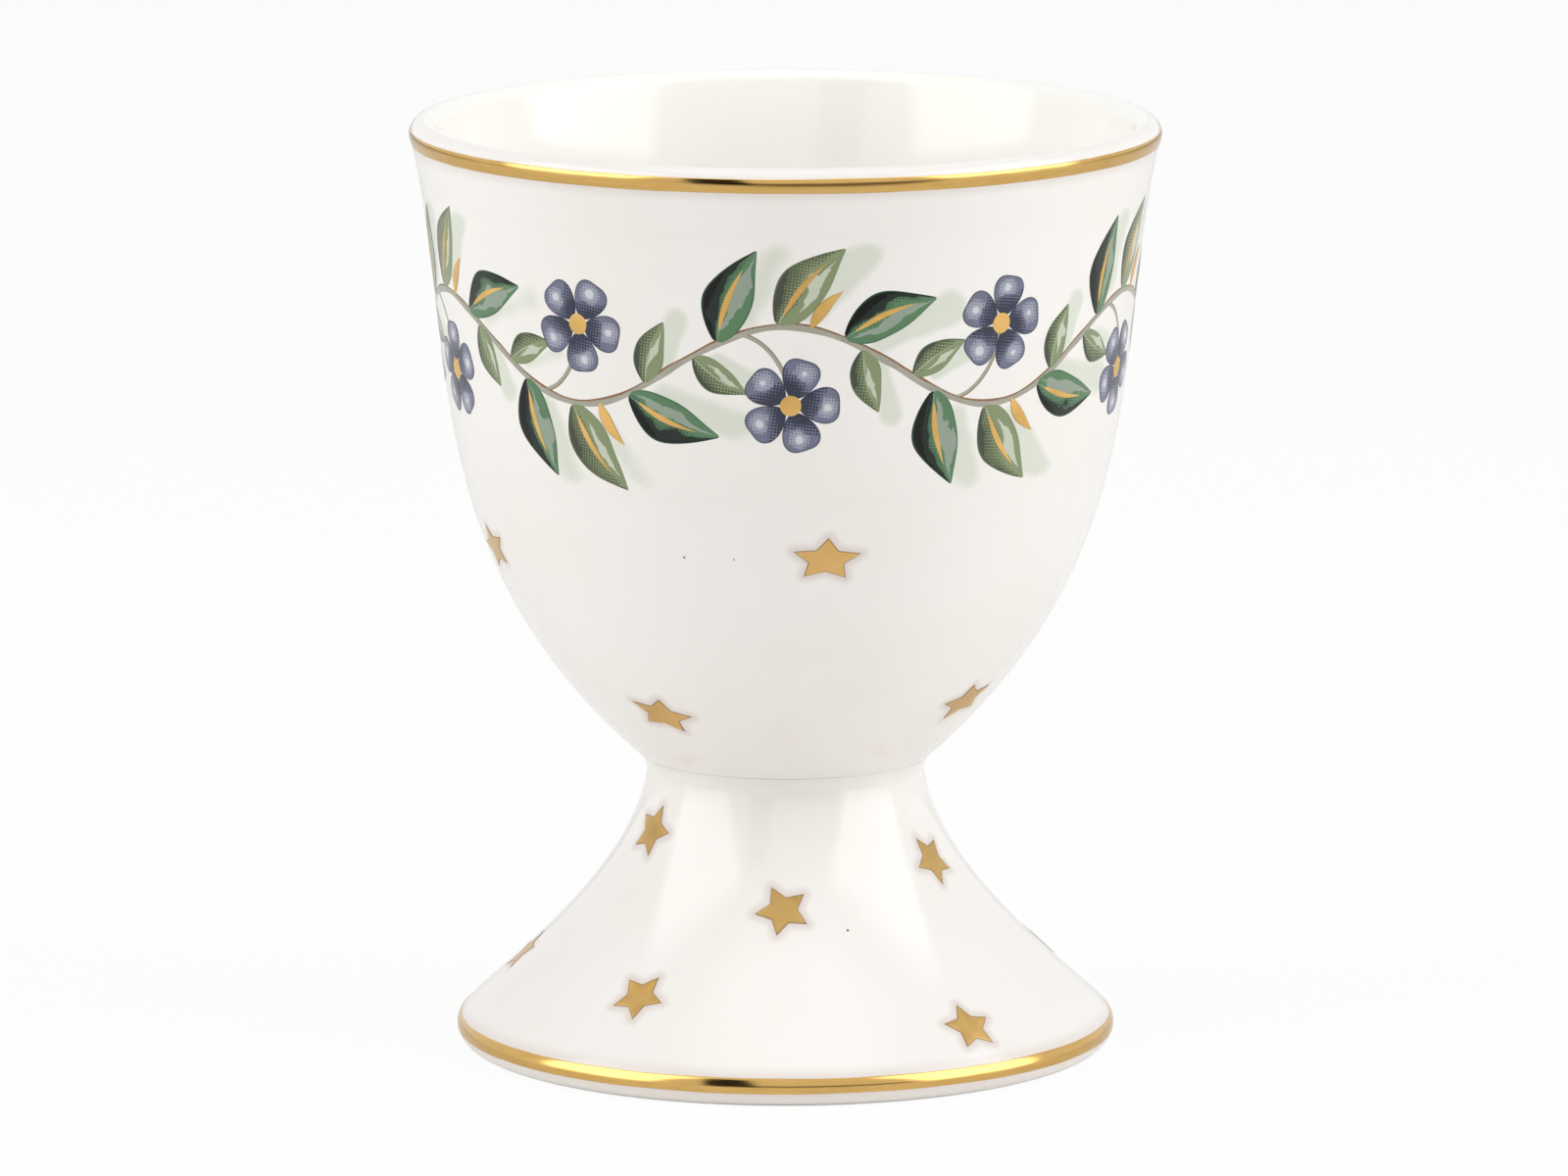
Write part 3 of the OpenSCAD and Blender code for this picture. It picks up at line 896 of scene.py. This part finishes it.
def glaze_group():
    """Clear fired glaze: a slow swell of its surface, and a fine unevenness of its gloss and tone."""
    tree, given, result = new_group("fired_glaze", {"Place": "Vector"}, ["Height", "Tone", "Gloss"])
    swell = noise(tree, given["Place"], 95.0, 1.5, 0.4)
    peel = noise(tree, given["Place"], 620.0, 1.0, 0.4)
    fill(tree, result, {
        "Height": swell + peel * 0.07,
        "Tone": noise(tree, given["Place"], 60.0, 3.0),
        "Gloss": noise(tree, given["Place"], 260.0, 2.0),
    })
    return tree


def burnished_gold_group():
    """Gold put on with a brush: streaks that run round the cup, patches of tone, and tiny pits."""
    kinds = {"Place": "Vector", "Stretch": "Float"}
    tree, given, result = new_group("burnished_gold", kinds, ["Streak", "Patch", "Pit"])
    stretch = joined(tree, 1.0, 1.0, given["Stretch"])
    drawn_out = vector_step(tree, "MULTIPLY", given["Place"], stretch)[0]
    pits = put(tree, "TexVoronoi", {"Vector": given["Place"], "Scale": 520.0, "Randomness": 1.0})
    chance = Level(tree, put(tree, "SeparateColor", {0: pits.outputs["Color"]}).outputs[0])
    size = chance.step(0.86, 0.95) * 0.075
    fill(tree, result, {
        "Streak": noise(tree, drawn_out, 300.0, 3.0, 0.6),
        "Patch": noise(tree, given["Place"], 420.0, 2.0),
        "Pit": (size - Level(tree, pits.outputs["Distance"])).step(-0.015, 0.015),
    })
    return tree


groups = {
    "dots": screen_dots_group(),
    "wash": brush_wash_group(),
    "glaze": glaze_group(),
    "gold": burnished_gold_group(),
}


def place_group(tree, group, **inputs):
    """Places a shared group in a material, with the material's own values, and gives its outputs."""
    made = tree.nodes.new("ShaderNodeGroup")
    made.node_tree = groups[group]
    fill(tree, made, inputs)
    return {output.name: Level(tree, output) for output in made.outputs}


def empty_material(name):
    """A material without nodes yet, and its tree."""
    material = bpy.data.materials.new(name)
    material.use_nodes = True
    material.node_tree.nodes.clear()
    return material, material.node_tree


def new_material(name, **sockets):
    """A material with one Principled shader; the named sockets are set on it."""
    material, tree = empty_material(name)
    shader = put(tree, "BsdfPrincipled", {key.replace("_", " "): value for key, value in sockets.items()})
    output = put(tree, "OutputMaterial", {"Surface": shader.outputs[0]})
    output.is_active_output = True
    return material, tree, shader


def gold_halo_tint_and_shade(tree, colour, place, heights, outside):
    """A faint rosy tint and painted shade in the glaze, within the halo's width of a gold line's edges."""
    level = parts(tree, place)[2]
    for height in heights:
        share = abs(level - height).step(halo_width, 0) * outside
        colour = blend(tree, share * line_halo_share, colour, halo_tint_and_painted_shade)
    return colour


def glazed_china(name, inside=None, bare_ring=False, specks=(), gold_heights=(), stain=None):
    """Clear glaze on warm white china: creamier and lighter inside, partly where it pools and partly painted
    light for the brightly lit inside; specks are iron spots, and the standing ring is ground bare. A stain
    is a function that tints the colour of a thin layer over it."""
    material, tree, shader = new_material(name, IOR=1.52)
    place = object_place(tree)
    glaze = place_group(tree, "glaze", Place=place)
    colour = blend(tree, glaze["Tone"].step(0.3, 0.7), china_shadow, china_light)
    outside = 1.0
    # The inside's colour: a creamier tone of pooled glaze, made lighter as painted light for the lit inside
    if inside:
        within = attribute(tree, "within")
        colour = blend(tree, within, colour, inside)
        outside = calculate("LESS_THAN", within, 0.01)
    for spot, size in specks:
        far = Level(tree, vector_step(tree, "DISTANCE", place, spot)["Value"])
        colour = blend(tree, far.step(size, size * 0.55), colour, speck_tone)
    # Painted shade with a rosy tint along the gold lines' edges
    colour = gold_halo_tint_and_shade(tree, colour, place, gold_heights, outside)
    if stain:
        colour = stain(tree, colour)
    gloss = glaze["Gloss"].ramp(0.3, 0.7, 0.07, 0.12)
    if bare_ring:
        grain = noise(tree, place, 2600.0, 3.0)
        bare = parts(tree, place)[2].step(0.16 * mm, 0.08 * mm)
        ground = blend(tree, grain, srgb(222, 214, 200), srgb(240, 235, 226))
        colour = blend(tree, bare, colour, ground)
        gloss = gloss + bare * 0.55
    normal = bump(tree, glaze["Height"], 0.03 * mm)
    fill(tree, shader, {"Base Color": colour, "Roughness": gloss, "Normal": normal})
    return material


def bright_gold(name, stretch, edged, deep, light):
    """Burnished gold: ochre metal, deeper in the brush's streaks, with a matt purplish brown outline on
    the stars and pits through which the china shows dark."""
    material, tree, shader = new_material(name, Metallic=1.0, IOR=1.5)
    gold = place_group(tree, "gold", Place=object_place(tree), Stretch=stretch)
    colour = layered(
        tree, deep,
        (gold["Streak"].step(0.32, 0.68), light),
        (gold["Patch"].step(0.4, 0.75) * 0.3, srgb(198, 158, 88)),
        (gold["Pit"], srgb(84, 62, 42)),
    )
    rough = gold["Streak"].ramp(0.3, 0.7, 0.09, 0.15)
    if edged:
        rim = attribute(tree, "edge").step(0.92, 0.98) * 0.9
        colour = blend(tree, rim, colour, srgb(104, 76, 66))
        fill(tree, shader, {"Metallic": 1.0 - rim})
        rough = rim * 0.3 + 0.26
    normal = bump(tree, gold["Streak"], 0.003 * mm)
    fill(tree, shader, {"Base Color": colour, "Roughness": rough, "Normal": normal})
    return material


def screen_dots(tree, sheet, tone):
    """Mask of the printer's dots on a piece's print sheet."""
    return place_group(tree, "dots", Sheet=sheet, Pitch=dot_pitch, Tone=tone)["Mask"]


def leaf_print(name, unevenness, pale, flat, dots, shades, rib, rim):
    """Flat tones of a leaf, middle and pale; screen dots where the dark runs out; darker tones along one
    edge; a pale rib and a thin rim. Each tone comes with the levels or the share at which it lies."""
    material, tree, shader = new_material(name, **enamel_gloss)
    inputs = {"Blade": mapped(tree, "blade"), "Seed": attribute(tree, "seed")}
    wash = place_group(tree, "wash", Unevenness=unevenness, Pale=pale, **inputs)
    shade = wash["Shade"]
    middle, light, light_end = flat
    growth, start, dot_share, dot_tone = dots
    mask = screen_dots(tree, mapped(tree, "sheet"), shade.ramp(*growth)) * shade.step(*start)
    colour = layered(
        tree, middle,
        (wash["Light"].step(0.0, light_end), light),
        (mask * dot_share, dot_tone),
        *[(shade.step(low, high), tone) for low, high, tone in shades],
        (wash["Rib"] * rib[0], rib[1]),
        (wash["Rim"] * rim[0], rim[1]),
    )
    fill(tree, shader, {"Base Color": colour})
    return material


def petal_print():
    """Blue violet: dark dots at the petal's foot, a pale lattice of dots over its middle, a thin rim."""
    material, tree, shader = new_material("petal_enamel", **enamel_gloss)
    sheet = mapped(tree, "sheet")
    along, across, _ = parts(tree, mapped(tree, "blade"))
    place = joined(tree, along * 3.0, across * 3.0, attribute(tree, "seed") * 19.0)
    waver = (noise(tree, place, 1.0, 3.0) - 0.5) * 0.5
    deep = (0.57 - along) + (waver + across * 0.5)
    dark = screen_dots(tree, sheet, deep.ramp(0.0, 0.35, 0.4, 1.0)) * deep.step(0.0, 0.04)
    off_x = along - 0.7
    off_y = across + 0.05
    far = calculate("SQRT", off_x * off_x + off_y * off_y)
    glow = 0.24 - (far + waver * 0.4)
    light = screen_dots(tree, sheet, glow.ramp(0.0, 0.18, 0.4, 0.95)) * glow.step(0.0, 0.03)
    colour = layered(
        tree, srgb(113, 116, 137),
        (light * 0.8, srgb(170, 172, 186)),
        (glow.step(0.15, 0.19), srgb(205, 206, 211)),
        (dark * 0.85, srgb(40, 43, 60)),
        (deep.step(0.42, 0.46), srgb(46, 49, 66)),
        (attribute(tree, "edge").step(0.9, 0.97) * 0.75, srgb(62, 65, 80)),
    )
    fill(tree, shader, {"Base Color": colour})
    return material


def stem_print():
    """Taupe, with a browner edge on one side."""
    material, tree, shader = new_material("stem_enamel", **enamel_gloss)
    grain = noise(tree, mapped(tree, "sheet"), 0.7, 3.0)
    across = parts(tree, mapped(tree, "blade"))[1]
    colour = layered(
        tree, srgb(140, 138, 122),
        (grain, srgb(186, 183, 171)),
        ((across + grain * 1.1).step(0.98, 1.14), srgb(140, 104, 74)),
    )
    fill(tree, shader, {"Base Color": colour})
    return material


def printed_gold():
    """Satin printed gold with a thin brown outline."""
    material, tree, shader = new_material("printed_gold", Metallic=0.35, IOR=1.5)
    patch = place_group(tree, "gold", Place=object_place(tree), Stretch=1.0)["Patch"]
    across = parts(tree, mapped(tree, "blade"))[1]
    colour = layered(
        tree, srgb(210, 166, 88),
        (patch.step(0.3, 0.7), srgb(226, 182, 104)),
        (abs(across).step(0.8, 0.95) * 0.7, srgb(150, 106, 70)),
    )
    fill(tree, shader, {"Base Color": colour, "Roughness": patch.ramp(0.3, 0.7, 0.3, 0.42)})
    return material


def spot_on(curve, angle, share):
    """Object point on a wall's curve, at an angle from the front."""
    r, z = bezier(curve, share)
    turned = math.radians(angle - 90)
    return (r * math.cos(turned), r * math.sin(turned), z)


# Iron specks that the photograph shows: place and radius
bowl_specks = [
    (spot_on(bowl_curve, -18.5, 0.405), 0.11 * mm),
    (spot_on(bowl_curve, -9.3, 0.405), 0.08 * mm),
]
foot_specks = [(spot_on(foot_curve, 17.6, 0.397), 0.12 * mm)]

china_light = srgb(243, 240, 236)
china_shadow = srgb(240, 236, 231)
# Inside the bowl: cream of pooled glaze, lightened as painted light for the brightly lit inside
inside_cream_and_painted_light = srgb(254, 253, 248)
speck_tone = srgb(112, 98, 84)
# Halo round the gold: a rosy tint, darkened as painted shade beside the gold's edges
halo_tint_and_painted_shade = srgb(221, 210, 203)
wash_tone = srgb(200, 209, 188)
line_halo_share = 0.55
star_halo_share = 0.9
wash_strength = 0.62
rim_heights = [corner[2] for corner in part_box("rim_gold_line")]
edge_heights = [corner[2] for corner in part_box("foot_gold_line")]


def around_star(tree, colour):
    """The rosy tint and painted shade round a gold star, which fade to plain china at the layer's edge."""
    return blend(tree, attribute(tree, "edge").step(1, 0) * star_halo_share, colour, halo_tint_and_painted_shade)


def pale_wash(tree, colour):
    """A pale green wash beside and past the leaves, of uneven strength, which fades out softly."""
    share = attribute(tree, "wash")
    waver = (noise(tree, object_place(tree), 330.0, 1.5) - 0.5) * 0.5
    uneven = (share + waver).step(0.05, 0.5)
    return blend(tree, uneven * (share.step(0.0, 0.2) * wash_strength), colour, wash_tone)


materials = {
    "bowl": glazed_china("bowl_glaze", inside=inside_cream_and_painted_light, specks=bowl_specks, gold_heights=rim_heights[:1]),
    "foot": glazed_china("foot_glaze", bare_ring=True, specks=foot_specks, gold_heights=edge_heights),
    "star_halo_tint_and_shade": glazed_china("star_halo_tint_and_shade", stain=around_star),
    "vine_wash": glazed_china("vine_wash", stain=pale_wash),
    "slip": glazed_china("slip_glaze"),
    "line": bright_gold("gold_line", 14.0, False, srgb(205, 166, 97), srgb(213, 174, 105)),
    "star": bright_gold("bowl_star_gold", 1.0, True, srgb(210, 170, 107), srgb(217, 178, 115)),
    # The foot's stars: the bowl stars' gold, painted darker as shade for the darker reflections they show
    "foot_star": bright_gold("foot_star_gold_painted_shade", 1.0, True, srgb(178, 145, 86), srgb(198, 163, 101)),
    "stem": stem_print(),
    "dark": leaf_print(
        "dark_leaf_enamel", 1.5, 0.42,
        flat=(srgb(92, 128, 94), srgb(146, 159, 144), 0.02),
        dots=((0.02, 0.42, 0.25, 1.0), (0.02, 0.06), 0.6, srgb(44, 62, 52)),
        shades=[(0.3, 0.33, srgb(38, 48, 42)), (0.62, 0.66, srgb(20, 22, 20))],
        rib=(0.5, srgb(150, 170, 148)),
        rim=(0.6, srgb(58, 92, 70)),
    ),
    "sage": leaf_print(
        "sage_leaf_enamel", 1.3, 0.28,
        flat=(srgb(134, 146, 110), srgb(196, 201, 182), 0.03),
        dots=((-0.05, 0.85, 0.35, 0.85), (-0.02, 0.03), 0.8, srgb(68, 76, 60)),
        shades=[(0.74, 0.78, srgb(72, 78, 66))],
        rib=(0.6, srgb(196, 202, 176)),
        rim=(0.5, srgb(118, 132, 98)),
    ),
    "petal": petal_print(),
    "print": printed_gold(),
}

# Pieces
large_width = large_leaf * leaf_width_share
small_width = small_leaf * leaf_width_share
flat_star = star_outline(bowl_star_radius, bowl_star_height_share)
foot_star = star_outline(foot_star_radius)
bowl_line, bowl_within = bowl_section()
lip_line = gold_line(bowl_side(fine), "rim_gold_line", 1.7)
edge_line = gold_line(foot_side(fine), "foot_gold_line", 4.1)
stars_on_bowl = star_skins(bowl_curve, bowl_table, bowl_star_shares, flat_star)
stars_on_foot = star_skins(foot_curve, foot_table, foot_star_shares, foot_star)
# The halo round each star: rosy tint and painted shade
glow = star_skins(
    bowl_curve, bowl_table, bowl_star_shares, star_outline(bowl_star_radius, bowl_star_height_share, 1),
    halo_outline(bowl_star_radius, bowl_star_height_share),
) + star_skins(
    foot_curve, foot_table, foot_star_shares, star_outline(foot_star_radius, 1, 1),
    halo_outline(foot_star_radius),
)
sage_blades = blades(sage_leaf_shares, large_leaf, large_width, sage_rise)
sage_blades += blades(small_leaf_shares, small_leaf, small_width, sage_rise)
gold_blades = blades(
    dark_leaf_shares + sage_leaf_shares, large_leaf, large_leaf * gold_stroke_share, gold_rise,
    stroke_start_share, stroke_end_share,
)
gold_blades += blades(gold_leaf_shares, small_leaf, small_leaf * gold_leaf_width_share, gold_rise)
make_piece("china_bowl", [revolved(bowl_line, within=bowl_within)], materials["bowl"], "bowl")
make_piece("china_foot", [revolved(foot_section(), closed=True)], materials["foot"], "foot")
make_piece("neck_slip", [revolved(slip_section(), closed=True)], materials["slip"], "slip_joint")
make_piece("lip_gold", [lip_line], materials["line"], "rim_gold_line")
make_piece("edge_gold", [edge_line], materials["line"], "foot_gold_line")
make_piece("gold_stars_on_bowl", stars_on_bowl, materials["star"], "bowl_stars")
make_piece("gold_stars_on_foot", stars_on_foot, materials["foot_star"], "foot_stars")
make_piece("star_halo_tint_and_shade", glow, materials["star_halo_tint_and_shade"], None)
make_piece("vine_wash", [wash_band()], materials["vine_wash"], None)
make_piece("stem_print", [stem_skin()] + stalk_skins(), materials["stem"], "vine_stems")
make_piece(
    "dark_leaf_print", blades(dark_leaf_shares, large_leaf, large_width, dark_rise), materials["dark"],
    "vine_dark_leaves",
)
make_piece("sage_leaf_print", sage_blades, materials["sage"], "vine_sage_leaves")
make_piece("petal_print", petal_skins(), materials["petal"], "vine_petals")
make_piece("gold_print", gold_blades + eye_skins(), materials["print"], "vine_gold")


# Studio: a pale floor, soft boxes, and dark nets at the camera's side
cup_middle = 0.03


def round_cup(azimuth, distance, height):
    """A place round the cup: azimuth 0 is the front and positive is right, in degrees."""
    a = math.radians(azimuth)
    return (distance * math.sin(a), -distance * math.cos(a), height)


def above_cup(azimuth, elevation, distance):
    """A place seen from the cup's middle at an azimuth and an elevation, in degrees."""
    e = math.radians(elevation)
    return round_cup(azimuth, distance * math.cos(e), distance * math.sin(e) + cup_middle)


# Soft boxes: place, width, height, strength, and the shares of the sides over which it fades
soft_boxes = {
    "left": (above_cup(-69.5, 28, 0.8), 0.815, 1.0, 2.22, (0.15, 0.25)),
    "right": (above_cup(72.5, 28, 0.8), 0.89, 1.0, 2.32, (0.15, 0.25)),
    "top": ((0, 0, 0.83), 0.8, 0.8, 0.88, (0.25, 0.25)),
    "front": (above_cup(0, 60, 0.8), 0.8, 0.5, 0.6, (0.25, 0.25)),
}
# Nets: azimuth, distance and height of each corner, the share of light let through, the fading share
nets = {
    "tall": ([(-27, 0.2, 0.004), (-7, 0.2, 0.004), (-14, 0.2, 0.22), (-34, 0.2, 0.22)], 0.02, 0.14),
    "low": ([(-38, 0.15, 0.001), (52, 0.15, 0.001), (52, 0.32, 0.06), (-38, 0.32, 0.06)], 0.25, 0.36),
}
world_strength = 0.33
floor_reach = 4.0
floor_seen_share = 0.92
floor_gloss_share = 0.2

# The photograph's camera: its focal length and width in pixels, its place, its turn down in degrees
focal_pixels = 12021
image_width = 1600
sensor_width = 36
camera_place = (-0.1 * mm, -806.4 * mm, 176.2 * mm)
camera_down = 10.14


def studio_sheet(name, corners, material):
    """A flat sheet of the studio, from its corners, with a map from 0 to 1 over its sides."""
    mesh = bpy.data.meshes.new(name)
    mesh.from_pydata([tuple(corner) for corner in corners], [], [(0, 1, 2, 3)])
    layer = mesh.uv_layers.new(name="panel")
    layer.uv.foreach_set("vector", [0, 0, 1, 0, 1, 1, 0, 1])
    mesh.materials.append(material)
    sheet = bpy.data.objects.new(name, mesh)
    bpy.context.scene.collection.objects.link(sheet)
    return sheet


def flat_panel(name, centre, width, height, material):
    """A flat panel that faces the cup: its corners are the centre plus and minus half its sides."""
    centre = np.array(centre, float)
    towards = np.array([0, 0, cup_middle]) - centre
    towards /= np.linalg.norm(towards)
    right = np.cross(towards, [0, 1, 0] if abs(towards[2]) > 0.99 else [0, 0, 1])
    right /= np.linalg.norm(right)
    up = np.cross(right, towards)
    ends = ((-1, -1), (1, -1), (1, 1), (-1, 1))
    corners = [centre + a * right * width / 2 + b * up * height / 2 for a, b in ends]
    panel = studio_sheet(name, corners, material)
    panel.visible_camera = False
    return panel


def panel_fade(tree, soft_shares):
    """1 over a panel's middle, and a smooth fall to 0 at its edges over these shares of its sides."""
    across, up, _ = parts(tree, mapped(tree, "panel"))
    fades = [abs(part - 0.5).step(0.5, 0.5 - soft) for part, soft in zip((across, up), soft_shares)]
    return fades[0] * fades[1]


def soft_box_material(name, strength, soft_shares):
    """Clear cloth that adds light to what is behind it, with soft edges."""
    material, tree = empty_material(name)
    light = put(tree, "Emission", {"Strength": panel_fade(tree, soft_shares) * strength})
    clear = put(tree, "BsdfTransparent")
    both = put(tree, "AddShader", {0: clear.outputs[0], 1: light.outputs[0]})
    put(tree, "OutputMaterial", {"Surface": both.outputs[0]})
    return material


def net_material(name, left_share, soft_shares):
    """Grey net that lets through only this share of the light behind it, with soft edges."""
    material, tree = empty_material(name)
    level = (left_share, left_share * 0.95, left_share * 0.9, 1)
    shade = blend(tree, panel_fade(tree, soft_shares), (1, 1, 1, 1), level)
    net = put(tree, "BsdfTransparent", {"Color": shade})
    put(tree, "OutputMaterial", {"Surface": net.outputs[0]})
    return material


def ray_kinds(tree):
    """Whether a ray comes from the camera, from gloss, or through glass."""
    path = put(tree, "LightPath")
    names = ("Is Camera Ray", "Is Glossy Ray", "Is Transmission Ray")
    return [Level(tree, path.outputs[name]) for name in names]


def lay_floor():
    """White floor: for the rays that see it, part of its light is its own, so that it reads as white and
    still keeps the cup's shadow."""
    material, tree = empty_material("pale_floor")
    matt = put(tree, "BsdfDiffuse", {"Color": (0.94, 0.94, 0.93, 1)})
    white = put(tree, "Emission", {"Color": (1, 1, 1, 1), "Strength": 1.0})
    seen, glossy, through = ray_kinds(tree)
    faint = calculate("MAXIMUM", glossy, through) * floor_gloss_share
    share = calculate("MAXIMUM", seen * floor_seen_share, faint)
    mixed = put(tree, "MixShader", {0: share, 1: matt.outputs[0], 2: white.outputs[0]})
    put(tree, "OutputMaterial", {"Surface": mixed.outputs[0]})
    ends = ((-1, -1), (1, -1), (1, 1), (-1, 1))
    studio_sheet("floor", [(a * floor_reach, b * floor_reach, 0) for a, b in ends], material)


def light_studio():
    """World, four soft boxes, and two dark nets that only the gloss shows."""
    world = bpy.data.worlds.new("studio")
    bpy.context.scene.world = world
    world.use_nodes = True
    tree = world.node_tree
    tree.nodes.clear()
    seen, glossy, through = ray_kinds(tree)
    pale = calculate("MAXIMUM", calculate("MAXIMUM", seen, glossy), through)
    strength = pale.ramp(0.0, 1.0, world_strength, 1.0)
    sky = put(tree, "Background", {"Color": (1, 1, 1, 1), "Strength": strength})
    put(tree, "OutputWorld", {"Surface": sky.outputs[0]})
    for side, (place, width, height, power, soft_shares) in soft_boxes.items():
        material = soft_box_material(side + "_light", power, soft_shares)
        panel = flat_panel("soft_box_" + side, place, width, height, material)
        panel.visible_glossy = side != "front"
    for kind, (corners, left_share, soft_share) in nets.items():
        material = net_material(kind + "_net", left_share, (soft_share, soft_share))
        card = studio_sheet(kind + "_card", [round_cup(*corner) for corner in corners], material)
        card.visible_camera = False
        card.visible_diffuse = False
        card.visible_shadow = False


def set_camera():
    """The camera of the photograph: 0.8 m in front of the cup and 0.18 m up, a long lens."""
    camera = bpy.data.cameras.new("camera")
    camera.sensor_fit = "HORIZONTAL"
    camera.sensor_width = sensor_width
    camera.lens = focal_pixels * sensor_width / image_width
    holder = bpy.data.objects.new("camera", camera)
    bpy.context.scene.collection.objects.link(holder)
    holder.location = camera_place
    holder.rotation_euler = (math.radians(90 - camera_down), 0, 0)
    bpy.context.scene.camera = holder


set_camera()
lay_floor()
light_studio()
bpy.context.scene.view_settings.view_transform = "Standard"
